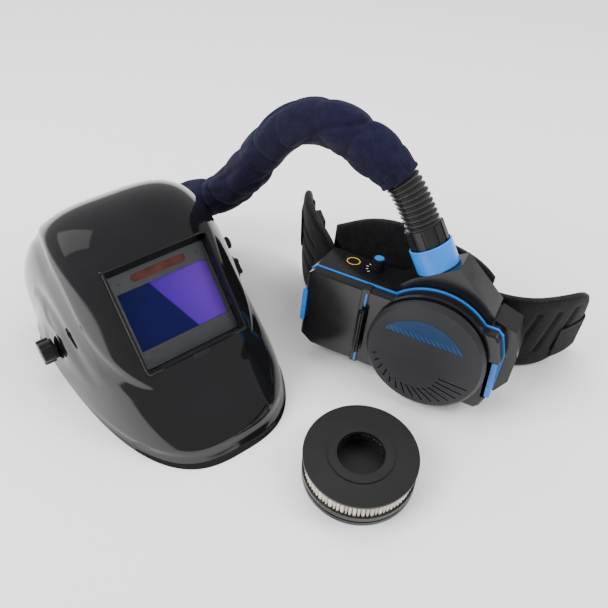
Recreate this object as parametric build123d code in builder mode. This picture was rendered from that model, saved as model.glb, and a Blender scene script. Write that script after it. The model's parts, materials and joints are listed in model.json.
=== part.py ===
from build123d import *
import math
import os

# Powered air respirator kit: welding helmet, belt blower, breathing hose and a spare filter.
# Millimetres, +Z up, origin on the table under the middle of the kit, +X along its length.

# Middle of the kit's footprint, measured from the survey point between helmet and blower
MIDDLE_X = -4.308
MIDDLE_Y = -96.832


def kit(x, y, z):
    """A point of the kit, moved so that the origin is under its middle."""
    return Vector(x - MIDDLE_X, y - MIDDLE_Y, z)


# Where the assemblies stand
BLOWER_YAW = 27.0
BLOWER_LEAN = 10.6
BLOWER_CENTRE = kit(124.0, -145.8, 72.5)
HELMET_YAW = 36.5
HELMET_FOOT = kit(-137.0, -116.8, 0)
VISOR_TILT = 41.3
LENS_HEIGHT = 113.9
HEADGEAR_TILT = 8.0
FILTER_CENTRE = kit(55.5, -241.2, 0)

# Blower
DISC_R = 64.8
WALL = 2.2
CASE_LEFT = -147.0
CASE_TOP = 48.6
CASE_BOTTOM = -50.0
CASE_ARCH_R = 69.0
FILTER_CASE_R = 60.6
SEAM_Y = 21.6
SEAM_THICK = 1.8
CASE_BACK = 72.0
BAY_RIGHT = -82.4
HINGE_X = -76.4
HINGE_Y = 2.5
HINGE_R = 4.0
PIN_R = 1.5
RUN_FIT = 0.05
COLLAR_LEAN = 33.0
COLLAR_R = 23.0
COLLAR_LENGTH = 27.0
COLLAR_BASE = Vector(-17.3, 47.0, 81.8)

# Filter cartridge
FILTER_R = 58.3
FILTER_H = 36.7
FILTER_HOLE_R = 24.3
FILTER_BAND_R = 56.6
FILTER_BASE_H = 14.0
FILTER_TOP_H = 4.2

# Helmet, in the frame of a worn helmet: x right, y back, z up, origin at the lens centre
EAR = Vector(0, 207, 31)
CHIN = Vector(0, -20, -169)
PIVOT_Y = 118.0
PIVOT_Z = 0.0
SHELL_WALL = 2.8
JAW_HALF = 117.0
CROWN_HALF = 107.0
LENS_W = 100.0
LENS_H = 62.0
CARTRIDGE_W = 109.6
CARTRIDGE_H = 100.0

# Hose
HOSE_R = 19.0
SLEEVE_R = 25.0
SLEEVE_BORE_R = 19.5
SPIGOT_R = 16.5
SPIGOT_BORE_R = 13.5


def place(origin, yaw, tilt):
    """A frame with x turned by yaw about the vertical, then tipped about its own x."""
    x_dir = Vector(1, 0, 0).rotate(Axis.Z, yaw)
    z_dir = Vector(0, 0, 1).rotate(Axis.X, tilt).rotate(Axis.Z, yaw)
    return Plane(origin, x_dir=x_dir, z_dir=z_dir)


BLOWER = place(BLOWER_CENTRE, -BLOWER_YAW, -BLOWER_LEAN)
HELMET = place(HELMET_FOOT, HELMET_YAW, 0)
VISOR = place(HELMET.from_local_coords(Vector(0, 0, LENS_HEIGHT)), HELMET_YAW, -VISOR_TILT)
PIVOT_POINT = VISOR.from_local_coords(Vector(0, PIVOT_Y, PIVOT_Z))
HEADGEAR = place(PIVOT_POINT, HELMET_YAW, -HEADGEAR_TILT)
SPARE = Plane(FILTER_CENTRE)
TABLE = Plane.XY

CORD_NODES = ("breathing_hose", "hose_sleeve", "blower_cuff", "helmet_cuff")

made = {}


def save(part, name, frame):
    """Moves a finished piece from its own frame into the kit and writes it."""
    piece = frame.location * part
    piece.label = name
    export_step(piece, f"parts/{name}.step")
    made[name] = piece


def facing(y):
    """An upright plane at depth y, seen from the front: x right, z up."""
    return Plane((0, y, 0), x_dir=(1, 0, 0), z_dir=(0, -1, 0))


def sideways(x):
    """An upright plane at x, seen from the right: y right, z up."""
    return Plane((x, 0, 0), x_dir=(0, 1, 0), z_dir=(1, 0, 0))


# ---------------------------------------------------------------- helmet shell

# The shell's outline on its middle plane, from the chin over the face to the crown's rear edge
FACE_LINE = (
    CHIN,
    Vector(0, -25, -132),
    Vector(0, -23, -98),
    Vector(0, -18, -58),
    Vector(0, -15, 0),
    Vector(0, -14, 58),
    Vector(0, -5, 86),
    Vector(0, 14, 109),
    Vector(0, 45, 127),
    Vector(0, 92, 135),
    Vector(0, 150, 130),
)
FAN_ROWS = 17
FAN_COLUMNS = 41
EAR_TRIM = 84.0


def face_profile():
    with BuildLine() as face_line:
        Spline(*FACE_LINE)
    return face_line.edges()[0]


PROFILE = face_profile()


def shell_point(up, across, inset):
    """A point of the shell. up runs 0..1 from the jaw rim to the crown's rear edge, and across
    is the angle from the middle (0) to the ear (90). Each row is a superellipse through the ear."""
    half = JAW_HALF + (CROWN_HALF - JAW_HALF) * min(1.0, up * 1.6) - inset
    squareness = 2.9 + 0.6 * up
    reach = PROFILE.position_at(up) - EAR
    length = reach.length - inset
    angle = math.radians(across)
    side = abs(math.sin(angle))
    front = max(math.cos(angle), 0.0)
    radius = (side**squareness + front**squareness) ** (-1 / squareness)
    return EAR + reach.normalized() * (length * radius * front) + Vector(
        math.copysign(half * radius * side, angle), 0, 0
    )


def shell_skin(inset, low, high, trim):
    """The shell's surface between two rows, as a grid of points."""
    rows = []
    for row in range(FAN_ROWS):
        up = low + (high - low) * row / (FAN_ROWS - 1)
        points = [
            shell_point(up, trim * (2 * column / (FAN_COLUMNS - 1) - 1), inset)
            for column in range(FAN_COLUMNS)
        ]
        rows.append(points)
    return Face.make_surface_from_array_of_points(rows, tol=0.05, min_deg=3, max_deg=5)


def shell_side(y, z):
    """The shell's outer half-width where its side wall passes the point (y, z)."""
    low, high = 0.0, 1.0
    slope = math.atan2(z - EAR.Z, EAR.Y - y)
    for _ in range(40):
        up = (low + high) / 2
        reach = PROFILE.position_at(up) - EAR
        if math.atan2(reach.Z, -reach.Y) < slope:
            low = up
        else:
            high = up
    target = math.hypot(y - EAR.Y, z - EAR.Z)
    near, far = 0.0, 90.0
    for _ in range(40):
        across = (near + far) / 2
        point = shell_point(up, across, 0)
        if math.hypot(point.Y - EAR.Y, point.Z - EAR.Z) > target:
            near = across
        else:
            far = across
    return point.X



# Window bay
BAY_W = 111.0
BAY_LOW = -51.0
BAY_HIGH = 56.5
BAY_WALL = 2.6
BAY_FRONT = -16.5
BAY_BACK = 12.0
BAY_MIDDLE = (BAY_LOW + BAY_HIGH) / 2
BAY_H = BAY_HIGH - BAY_LOW
BOLT_R = 4.0
SHELL_SIDE = shell_side(PIVOT_Y, PIVOT_Z)
SHADE_Y = 85.0
SHADE_Z = 33.0
SHADE_SIDE = shell_side(SHADE_Y, SHADE_Z)


RIM = Plane(
    EAR,
    x_dir=(1, 0, 0),
    z_dir=(0, -math.sin(math.radians(VISOR_TILT)), math.cos(math.radians(VISOR_TILT))),
)


def make_helmet_shell():
    skin = shell_skin(0, 0.0, 1.0, EAR_TRIM)
    with BuildPart() as helmet_shell:
        thicken(skin, amount=SHELL_WALL)
        split(bisect_by=RIM, keep=Keep.TOP)
        # room for the window bay, then its four walls
        with BuildSketch(facing(BAY_FRONT - 20)):
            with Locations((0, BAY_MIDDLE)):
                Rectangle(BAY_W + BAY_WALL, BAY_H + BAY_WALL)
        extrude(amount=-(20 - BAY_FRONT + BAY_BACK), mode=Mode.SUBTRACT)
        with BuildSketch(facing(BAY_FRONT)):
            with Locations((0, BAY_MIDDLE)):
                RectangleRounded(BAY_W + 2 * BAY_WALL, BAY_H + 2 * BAY_WALL, 4)
                RectangleRounded(BAY_W, BAY_H, 1.5, mode=Mode.SUBTRACT)
        extrude(amount=-(BAY_BACK - BAY_FRONT))
        # pivot bores and the bore of the shade knob's spindle
        with BuildSketch(sideways(-150)):
            with Locations((PIVOT_Y, PIVOT_Z)):
                Circle(BOLT_R + 0.4)
        extrude(amount=300, mode=Mode.SUBTRACT)
        with BuildSketch(sideways(80)):
            with Locations((SHADE_Y, SHADE_Z)):
                Circle(3.3)
        extrude(amount=50, mode=Mode.SUBTRACT)
    save(helmet_shell.part, "helmet_shell", VISOR)


def make_cover_lens():
    half = BAY_W / 2 - 0.7
    with BuildPart() as cover_lens:
        with BuildSketch(Plane.XY.offset(BAY_LOW + 0.7)):
            with BuildLine():
                ThreePointArc((-half, -5.5), (0, -9.5), (half, -5.5))
                Line((half, -5.5), (half, -4.2))
                ThreePointArc((half, -4.2), (0, -8.2), (-half, -4.2))
                Line((-half, -4.2), (-half, -5.5))
            make_face()
        extrude(amount=BAY_H - 1.4)
    save(cover_lens.part, "cover_lens", VISOR)


SOLAR_Z = 41.0
SENSOR_SPOTS = ((-44, SOLAR_Z), (44, SOLAR_Z), (-46, -38), (46, -38))


def make_filter_cartridge():
    with BuildPart() as filter_cartridge:
        with BuildSketch(facing(0)):
            RectangleRounded(CARTRIDGE_W, CARTRIDGE_H, 2)
        extrude(amount=-9)
        with BuildSketch(facing(0)):
            Rectangle(LENS_W, LENS_H)
        extrude(amount=-9, mode=Mode.SUBTRACT)
        with BuildSketch(facing(0)):
            with Locations((0, SOLAR_Z)):
                SlotOverall(62, 9)
            with Locations(*SENSOR_SPOTS):
                Circle(2.2)
        extrude(amount=-1.2, mode=Mode.SUBTRACT)
        # battery cover and grip at the back
        with BuildSketch(facing(9)):
            with Locations((0, -40)):
                RectangleRounded(70, 14, 2)
        extrude(amount=-3)
    save(filter_cartridge.part, "filter_cartridge", VISOR)

    with BuildPart() as solar_cell:
        with BuildSketch(facing(0.2)):
            with Locations((0, SOLAR_Z)):
                SlotOverall(61.6, 8.6)
        extrude(amount=-1.0)
    save(solar_cell.part, "solar_cell", VISOR)

    with BuildPart() as arc_sensors:
        with BuildSketch(facing(0.4)):
            with Locations(*SENSOR_SPOTS):
                Circle(2.0)
        extrude(amount=-0.8)
    save(arc_sensors.part, "arc_sensors", VISOR)

    with BuildPart() as viewing_lens:
        with BuildSketch(facing(1.2)):
            Rectangle(LENS_W - 0.2, LENS_H - 0.2)
        extrude(amount=-5)
    save(viewing_lens.part, "viewing_lens", VISOR)


def make_lens_retainer():
    with BuildPart() as lens_retainer:
        with BuildSketch(facing(BAY_BACK + 0.2)):
            with Locations((0, BAY_MIDDLE)):
                RectangleRounded(BAY_W + 2 * BAY_WALL, BAY_H + 2 * BAY_WALL, 4)
            Rectangle(88, 54, mode=Mode.SUBTRACT)
        extrude(amount=-2)
        # spring arms that hold the cartridge against its stop
        with BuildSketch(facing(BAY_BACK + 0.2)):
            with Locations((-48, 0), (48, 0)):
                Rectangle(5, 40)
        extrude(amount=2.4)
    save(lens_retainer.part, "lens_retainer", VISOR)


def star_knob(x, lobes, radius, thick, bore):
    """A grip knob on the pivot axis, standing outward from x."""
    with BuildPart() as knob:
        with BuildSketch(sideways(x)):
            Circle(radius * 0.78)
            with PolarLocations(radius * 0.72, lobes):
                Circle(radius * 0.28)
        extrude(amount=thick)
        edges = knob.faces().sort_by(Axis.X)[-1].edges()
        chamfer(edges, 0.8)
        with BuildSketch(sideways(x)):
            Circle(bore)
        extrude(amount=thick - 3, mode=Mode.SUBTRACT)
    return knob.part


WASHER_X = SHELL_SIDE + 1.9
WASHER_THICK = 2.6
KNOB_X = WASHER_X + WASHER_THICK + 0.3
KNOB_THICK = 13.0


def make_pivots():
    at_pivot = Pos(0, PIVOT_Y, PIVOT_Z)
    knob = star_knob(KNOB_X, 5, 15.0, KNOB_THICK, BOLT_R + RUN_FIT)
    save(at_pivot * knob, "right_tension_knob", VISOR)
    save(at_pivot * mirror(knob, Plane.YZ), "left_tension_knob", VISOR)

    with BuildPart() as washer:
        with BuildSketch(sideways(WASHER_X)):
            Circle(12)
            Circle(BOLT_R + 0.3, mode=Mode.SUBTRACT)
        extrude(amount=WASHER_THICK)
    washers = Compound([washer.part, mirror(washer.part, Plane.YZ)])
    save(washers, "pivot_washers", HEADGEAR)

    with BuildPart() as shade_knob:
        with BuildSketch(sideways(SHADE_SIDE + 1.4)):
            Circle(7)
            with PolarLocations(7, 14):
                Circle(0.7)
        extrude(amount=11)
        with BuildSketch(sideways(SHADE_SIDE - 6)):
            Circle(3.2)
        extrude(amount=8)
    save(Pos(0, SHADE_Y, SHADE_Z) * shade_knob.part, "shade_knob", VISOR)

    with BuildPart() as shade_control:
        with BuildSketch(sideways(SHADE_SIDE - 18)):
            with Locations((SHADE_Y, SHADE_Z)):
                RectangleRounded(26, 20, 3)
        extrude(amount=11.4)
    save(shade_control.part, "shade_control_box", VISOR)


def make_face_seal():
    skin = shell_skin(16, 0.02, 0.2, 78)
    with BuildPart() as face_seal:
        thicken(skin, amount=1.6)
    save(face_seal.part, "face_seal", VISOR)


# ---------------------------------------------------------------- headgear, in its own frame

BAND_MIDDLE_Y = 34.0
BAND_HALF_X = 80.0
BAND_HALF_Y = 98.0
BAND_THICK = 2.2
BAND_LOW = -10.0
BAND_TALL = 24.0
BAND_SPLIT = 66.0
REAR_SPLIT = 40.0
REAR_GAP = 0.4
SIDE_PLATE_X = 99.0
RATCHET_Z = -1.0


def band(outer_x, outer_y, thick, low_y, high_y, low, tall):
    """Part of an oval band between two depths."""
    with BuildPart() as strip:
        with BuildSketch(Plane.XY.offset(low)):
            with Locations((0, BAND_MIDDLE_Y)):
                Ellipse(outer_x, outer_y)
                Ellipse(outer_x - thick, outer_y - thick, mode=Mode.SUBTRACT)
            with Locations((0, (low_y + high_y) / 2)):
                Rectangle(4 * outer_x, high_y - low_y, mode=Mode.INTERSECT)
        extrude(amount=tall)
    return strip.part


def make_headgear():
    front_end = BAND_MIDDLE_Y - BAND_HALF_Y - 1
    rear_end = BAND_MIDDLE_Y + BAND_HALF_Y + 1
    front = band(BAND_HALF_X, BAND_HALF_Y, BAND_THICK, front_end, BAND_SPLIT, BAND_LOW, BAND_TALL)
    save(front, "headband_front", HEADGEAR)
    step = BAND_THICK + REAR_GAP
    rear = band(
        BAND_HALF_X - step, BAND_HALF_Y - step, BAND_THICK, REAR_SPLIT, rear_end, BAND_LOW + 3, 18
    )
    save(rear, "headband_rear", HEADGEAR)
    pad = band(BAND_HALF_X - 2.4, BAND_HALF_Y - 2.4, 5, front_end, -20, BAND_LOW - 2, BAND_TALL + 4)
    save(pad, "sweatband", HEADGEAR)

    housing_y = BAND_MIDDLE_Y + BAND_HALF_Y - step + 0.1
    with BuildPart() as ratchet_housing:
        with BuildSketch(facing(housing_y)):
            with Locations((0, RATCHET_Z)):
                RectangleRounded(52, 26, 6)
        extrude(amount=-11)
        with BuildSketch(facing(housing_y + 4)):
            with Locations((0, RATCHET_Z)):
                Circle(9.3)
        extrude(amount=-7, mode=Mode.SUBTRACT)
    save(ratchet_housing.part, "ratchet_housing", HEADGEAR)
    with BuildPart() as ratchet_knob:
        with BuildSketch(facing(housing_y + 4.3)):
            with Locations((0, RATCHET_Z)):
                Circle(9)
        extrude(amount=-7.5)
        with BuildSketch(facing(housing_y + 11.4)):
            with Locations((0, RATCHET_Z)):
                Circle(12.6)
                with PolarLocations(12.6, 18):
                    Circle(1.2)
        extrude(amount=-9)
    save(ratchet_knob.part, "ratchet_knob", HEADGEAR)

    # side plates that carry the pivot bolts
    with BuildPart() as side_plate:
        with BuildSketch(sideways(SIDE_PLATE_X)):
            Circle(13)
        extrude(amount=3)
        with BuildSketch(sideways(BAND_HALF_X - 0.5)):
            RectangleRounded(16, 14, 3)
        extrude(amount=SIDE_PLATE_X - BAND_HALF_X + 1)
        with BuildSketch(sideways(SIDE_PLATE_X)):
            Circle(BOLT_R)
        extrude(amount=KNOB_X + KNOB_THICK - 4 - SIDE_PLATE_X)
    plates = Compound([side_plate.part, mirror(side_plate.part, Plane.YZ)])
    save(plates, "pivot_brackets", HEADGEAR)


STRAP_TOP = 76.0
STRAP_Y = 10.0
DUCT_X = 24.0
DUCT_Y = 150.0
DUCT_Z = 36.0
DUCT_WALL = 2.0
DUCT_HALF = 90.0
DUCT_RISE = 96.0


def arch(plane, middle, base, half, rise, thick, width):
    """A half-oval hoop of flat strip, standing on its two feet."""
    with BuildPart() as hoop:
        with BuildSketch(plane):
            with Locations((middle, base)):
                Ellipse(half, rise)
                Ellipse(half - thick, rise - thick, mode=Mode.SUBTRACT)
            with Locations((middle, base + rise)):
                Rectangle(3 * half, 2 * rise, mode=Mode.INTERSECT)
        extrude(amount=width)
    return hoop.part


def make_straps_and_duct():
    base = BAND_LOW + BAND_TALL + 0.3
    strap = arch(facing(STRAP_Y + 11), 0, base, BAND_HALF_X, STRAP_TOP, 2, 22)
    save(strap, "crown_straps", HEADGEAR)

    # flat duct over the head, open at its front foot, with a box and a stub at the back
    foot = base + 2.4
    middle = BAND_MIDDLE_Y - 4
    inner = DUCT_HALF - DUCT_WALL
    with BuildPart() as air_duct:
        add(arch(sideways(-19), middle, foot, DUCT_HALF, DUCT_RISE, 12, 38))
        with BuildSketch(Plane.XY.offset(foot)):
            with Locations((0, 130)):
                Rectangle(38, 50)
        extrude(amount=30)
        with BuildSketch(sideways(0)):
            with Locations((DUCT_Y, DUCT_Z)):
                Circle(17)
        extrude(amount=DUCT_X)
        add(
            arch(sideways(-17), middle, foot, inner, DUCT_RISE - DUCT_WALL, 8, 34),
            mode=Mode.SUBTRACT,
        )
        with BuildSketch(Plane.XY.offset(foot + DUCT_WALL)):
            with Locations((0, 130)):
                Rectangle(34, 46)
        extrude(amount=26, mode=Mode.SUBTRACT)
        with BuildSketch(sideways(10)):
            with Locations((DUCT_Y, DUCT_Z)):
                Circle(SPIGOT_BORE_R)
        extrude(amount=DUCT_X, mode=Mode.SUBTRACT)
    save(air_duct.part, "air_duct", HEADGEAR)


# ---------------------------------------------------------------- blower, in its own frame

CASE_RIGHT = 76.0
SHOULDER = 62.0


def case_outline(grow):
    """The casing seen from the front; grow moves the outline outward."""
    arch_r = CASE_ARCH_R + grow
    top = CASE_TOP + grow
    low = CASE_BOTTOM - grow
    left = CASE_LEFT - grow
    with BuildSketch() as outline:
        with BuildLine():
            Polyline(
                (left, top - 5),
                (left + 5, top),
                (SHOULDER, top),
                (SHOULDER + 6 + grow, top - 5),
                (CASE_RIGHT + grow, 20),
                (CASE_RIGHT + grow, -24),
                (70 + grow, low + 5),
                (64, low),
                (left + 14, low),
                (left, low + 10),
                close=True,
            )
        make_face()
        with BuildLine():
            CenterArc((0, 0), arch_r, 0, 180)
            Line((-arch_r, 0), (arch_r, 0))
        make_face()
        Circle(FILTER_CASE_R + grow)
    return outline.sketch


def case_prism(grow, front, back):
    """The casing's outline, extruded from one depth to another."""
    with BuildPart() as prism:
        with BuildSketch(facing(front)):
            add(case_outline(grow))
        extrude(amount=-(back - front))
    return prism.part


BOSS_FRONT = 27.0
BOSS_BACK = 68.0
COLLAR_TILT = Plane(
    COLLAR_BASE,
    x_dir=(math.cos(math.radians(COLLAR_LEAN)), 0, math.sin(math.radians(COLLAR_LEAN))),
    z_dir=(-math.sin(math.radians(COLLAR_LEAN)), 0, math.cos(math.radians(COLLAR_LEAN))),
)
SCROLL_Y = 59.6
POST_X = -77.9
POST_W = 8.0
POST_TALL = 98.0
POST_MIDDLE = -0.7
POST_FRONT = 9.0
LABEL_X = -96.0
LABEL_Y = 55.0
LABEL_W = 60.0
LABEL_D = 29.0
KNOB_SPOT_X = -83.0
KNOB_SPOT_Y = 54.5
SCREW_SPOTS = ((-138, 38), (-138, -38), (64, 34), (64, -36))
IMPELLER_R = 41.0
SHAFT_R = 2.0
MOTOR_R = 17.0


def crest(x):
    """Height of the boss's sloped top, just under the collar."""
    return COLLAR_BASE.Z - 0.25 + (x - COLLAR_BASE.X) * math.tan(math.radians(COLLAR_LEAN))


def boss_profile(inset):
    """The outlet boss seen from the front: a leaning block with a sloped right edge."""
    with BuildSketch() as boss:
        with BuildLine():
            Polyline(
                (-58 + inset, 40),
                (-58 + inset, 47),
                (-37 + inset, crest(-37) - 1.2 * inset),
                (7 - inset, crest(7) - 1.2 * inset),
                (54 - inset, 58),
                (54 - inset, 40),
                close=True,
            )
        make_face()
    return boss.sketch


SHOULDER_FRONT = 31.0
SHOULDER_BACK = 69.0


def shoulder_profile(inset):
    """The casing's right shoulder, which stands out beyond the seam."""
    with BuildSketch() as shoulder:
        with BuildLine():
            Polyline(
                (56, 52 - inset),
                (80 - inset, 45 - inset),
                (88 - inset, 18),
                (88 - inset, -16),
                (78 - inset, -34 + inset),
                (56, -34 + inset),
                close=True,
            )
        make_face()
    return shoulder.sketch


def make_rear_casing():
    front = SEAM_Y + SEAM_THICK
    with BuildPart() as rear_casing:
        add(case_prism(0, front, CASE_BACK))
        back_edges = rear_casing.faces().sort_by(Axis.Y)[-1].edges()
        chamfer(back_edges, 2.5)
        with BuildSketch(facing(BOSS_FRONT)):
            add(boss_profile(0))
        extrude(amount=-(BOSS_BACK - BOSS_FRONT))
        with BuildSketch(facing(SHOULDER_FRONT)):
            add(shoulder_profile(0))
        extrude(amount=-(SHOULDER_BACK - SHOULDER_FRONT))
        # hollow inside, open to the front
        add(case_prism(-WALL, front - 1, CASE_BACK - WALL - 1), mode=Mode.SUBTRACT)
        with BuildSketch(facing(BOSS_FRONT + WALL)):
            add(boss_profile(4))
        extrude(amount=-(BOSS_BACK - BOSS_FRONT - 2 * WALL), mode=Mode.SUBTRACT)
        with BuildSketch(facing(SHOULDER_FRONT + WALL)):
            add(shoulder_profile(WALL))
        extrude(amount=-(SHOULDER_BACK - SHOULDER_FRONT - 2 * WALL), mode=Mode.SUBTRACT)
        # spigot for the hose
        with BuildSketch(COLLAR_TILT):
            Circle(SPIGOT_R)
        extrude(amount=18)
        with BuildSketch(COLLAR_TILT.offset(-14)):
            Circle(SPIGOT_BORE_R)
        extrude(amount=40, mode=Mode.SUBTRACT)
        # partition between the battery bay and the filter chamber, with the hinge post
        with BuildSketch(facing(POST_FRONT)):
            with Locations((POST_X, POST_MIDDLE)):
                Rectangle(POST_W, POST_TALL)
        extrude(amount=-(CASE_BACK - WALL - POST_FRONT))
        with BuildSketch(Plane.XY.offset(-12)):
            with Locations((HINGE_X, HINGE_Y)):
                Circle(HINGE_R)
            with Locations((HINGE_X - 1.1, HINGE_Y + 4)):
                Rectangle(5.2, 8)
        extrude(amount=19)
        with BuildSketch(Plane.XY.offset(-30)):
            with Locations((HINGE_X, HINGE_Y)):
                Circle(PIN_R)
        extrude(amount=60, mode=Mode.SUBTRACT)
        # recess for the control label, and the bore under the speed knob
        with BuildSketch(Plane.XY.offset(CASE_TOP - 0.8)):
            with Locations((LABEL_X, LABEL_Y)):
                RectangleRounded(LABEL_W, LABEL_D, 2)
        extrude(amount=2, mode=Mode.SUBTRACT)
        with BuildSketch(Plane.XY.offset(CASE_TOP - 6)):
            with Locations((KNOB_SPOT_X, KNOB_SPOT_Y)):
                Circle(3.3)
        extrude(amount=8, mode=Mode.SUBTRACT)
        # screw bores and the slots for the belt hooks
        with BuildSketch(facing(CASE_BACK - 8)):
            with Locations(*SCREW_SPOTS):
                Circle(2.0)
        extrude(amount=-10, mode=Mode.SUBTRACT)
    save(rear_casing.part, "rear_casing", BLOWER)



FACE_Y = 9.0
DISC_FRONT = -3.0
BATTERY_BACK = 45.0
KNUCKLE = 17.2


def make_seam_trim():
    with BuildPart() as seam_trim:
        add(case_prism(0.4, SEAM_Y, SEAM_Y + SEAM_THICK))
        add(case_prism(-WALL, SEAM_Y, SEAM_Y + SEAM_THICK), mode=Mode.SUBTRACT)
        with BuildSketch(facing(SEAM_Y - 1)):
            with Locations((POST_X, POST_MIDDLE)):
                Rectangle(POST_W, POST_TALL + 0.2)
        extrude(amount=-4, mode=Mode.SUBTRACT)
        # two short trims on the hinge post, above and below the barrel
        with BuildSketch(facing(POST_FRONT - 0.8)):
            with Locations((HINGE_X, 36), (HINGE_X, -40)):
                Rectangle(1.8, 16)
        extrude(amount=-0.8)
    save(seam_trim.part, "seam_trim", BLOWER)


def make_battery():
    with BuildPart() as battery_pack:
        add(case_prism(-0.8, FACE_Y, SEAM_Y - 0.2))
        front_edges = battery_pack.faces().sort_by(Axis.Y)[0].edges()
        chamfer(front_edges, 2.0)
        add(case_prism(-WALL - 0.5, SEAM_Y - 0.4, BATTERY_BACK))
        with BuildSketch(facing(-20)):
            with Locations((BAY_RIGHT + 200, 0)):
                Rectangle(400, 300)
        extrude(amount=-100, mode=Mode.SUBTRACT)
        with BuildSketch(facing(FACE_Y - 1)):
            with Locations((CASE_LEFT, 0)):
                Rectangle(14, 43)
        extrude(amount=-(SEAM_Y - FACE_Y), mode=Mode.SUBTRACT)
    save(battery_pack.part, "battery_pack", BLOWER)

    with BuildPart() as battery_latch:
        with BuildSketch(facing(FACE_Y + 0.6)):
            with Locations((CASE_LEFT + 0.2, 0)):
                RectangleRounded(5.6, 42, 1.6)
        extrude(amount=-10)
    save(battery_latch.part, "battery_latch", BLOWER)

    with BuildPart() as contacts:
        with BuildSketch(facing(BATTERY_BACK + 0.4)):
            with Locations((-128, 14), (-118, 14), (-108, 14), (-98, 14)):
                Rectangle(4, 12)
        extrude(amount=-6.4)
    save(contacts.part, "battery_contacts", BLOWER)


DOOR_LEFT = -73.4
DOOR_NOTCH_X = 74.5


def make_filter_door():
    with BuildPart() as filter_door:
        add(case_prism(-1.2, FACE_Y, SEAM_Y - 0.2))
        front_edges = filter_door.faces().sort_by(Axis.Y)[0].edges()
        chamfer(front_edges, 1.6)
        add(case_prism(-3.6, FACE_Y + 2.4, SEAM_Y), mode=Mode.SUBTRACT)
        with BuildSketch(facing(-20)):
            with Locations((DOOR_LEFT - 200, 0)):
                Rectangle(400, 300)
        extrude(amount=-100, mode=Mode.SUBTRACT)
        # side wall along the hinge, air inlet, latch notch
        with BuildSketch(facing(FACE_Y + 1)):
            with Locations((DOOR_LEFT + 1.2, 0)):
                Rectangle(2.4, 88)
        extrude(amount=-(SEAM_Y - FACE_Y - 1.2))
        with BuildSketch(facing(FACE_Y - 1)):
            Circle(50)
            with Locations((DOOR_NOTCH_X, -6.5)):
                Rectangle(19, 47, rotation=4)
        extrude(amount=-(SEAM_Y - FACE_Y + 2), mode=Mode.SUBTRACT)
        for low in (-29.4, 7.2):
            with BuildSketch(Plane.XY.offset(low)):
                with Locations((HINGE_X, HINGE_Y)):
                    Circle(HINGE_R)
                with BuildLine():
                    Polyline(
                        (HINGE_X, HINGE_Y - 1),
                        (DOOR_LEFT + 2.4, FACE_Y),
                        (DOOR_LEFT + 2.4, FACE_Y + 6),
                        (DOOR_LEFT, FACE_Y + 6),
                        (DOOR_LEFT, FACE_Y - 0.6),
                        (HINGE_X, HINGE_Y + 3.8),
                        close=True,
                    )
                make_face()
            extrude(amount=KNUCKLE)
        with BuildSketch(Plane.XY.offset(-30)):
            with Locations((HINGE_X, HINGE_Y)):
                Circle(PIN_R + RUN_FIT)
        extrude(amount=60, mode=Mode.SUBTRACT)
    save(filter_door.part, "filter_door", BLOWER)

    with BuildPart() as hinge_pin:
        with BuildSketch(Plane.XY.offset(-29.4)):
            with Locations((HINGE_X, HINGE_Y)):
                Circle(PIN_R)
        extrude(amount=53.8)
    save(hinge_pin.part, "hinge_pin", BLOWER)

    with BuildPart() as door_latch:
        with BuildSketch(facing(FACE_Y + 0.4)):
            with Locations((71.6, -6.5)):
                RectangleRounded(5.6, 45, 1.6, rotation=4)
        extrude(amount=-11)
    save(door_latch.part, "door_latch", BLOWER)


SLOT_COUNT = 15
SLOT_OUTER_R = 57.0


def make_cover_disc():
    with BuildPart() as cover_disc:
        with BuildSketch(facing(DISC_FRONT)):
            Circle(DISC_R)
        extrude(amount=-8)
        rim = cover_disc.faces().sort_by(Axis.Y)[0].edges()
        chamfer(rim, 3.4)
        with BuildSketch(facing(DISC_FRONT + 8)):
            Circle(61)
        extrude(amount=-(FACE_Y - DISC_FRONT - 8))
        with BuildSketch(facing(DISC_FRONT + 2.4)):
            Circle(58.5)
        extrude(amount=-(FACE_Y - DISC_FRONT - 2.4), mode=Mode.SUBTRACT)
        # louvres, growing from short on the left to long on the right
        for number in range(SLOT_COUNT):
            bearing = 198 + 9.6 * number
            length = 5 + 1.9 * number
            lean = 14 + 31 * math.sin(math.pi * number / 16)
            inward = 0.5 * length * math.cos(math.radians(lean))
            sideward = 0.5 * length * math.sin(math.radians(lean))
            middle_r = math.sqrt(SLOT_OUTER_R**2 - sideward**2) - inward
            x = middle_r * math.cos(math.radians(bearing))
            z = middle_r * math.sin(math.radians(bearing))
            with BuildSketch(facing(DISC_FRONT - 1)):
                with Locations((x, z)):
                    SlotOverall(length, 1.5, rotation=bearing + lean)
            extrude(amount=-5, mode=Mode.SUBTRACT)
    save(cover_disc.part, "cover_disc", BLOWER)

    with BuildPart() as cover_decal:
        with BuildSketch(facing(DISC_FRONT - 0.25)):
            with BuildLine():
                ThreePointArc((-47, 20), (-4, 43), (39, 20))
                Line((39, 20), (-47, 20))
            make_face()
        extrude(amount=-0.25)
    save(cover_decal.part, "cover_decal", BLOWER)


GRILLE_ROWS = (3.0, 11.0)
GRILLE_WINDOW = 5.0
GRILLE_TURN = 96.0


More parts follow.
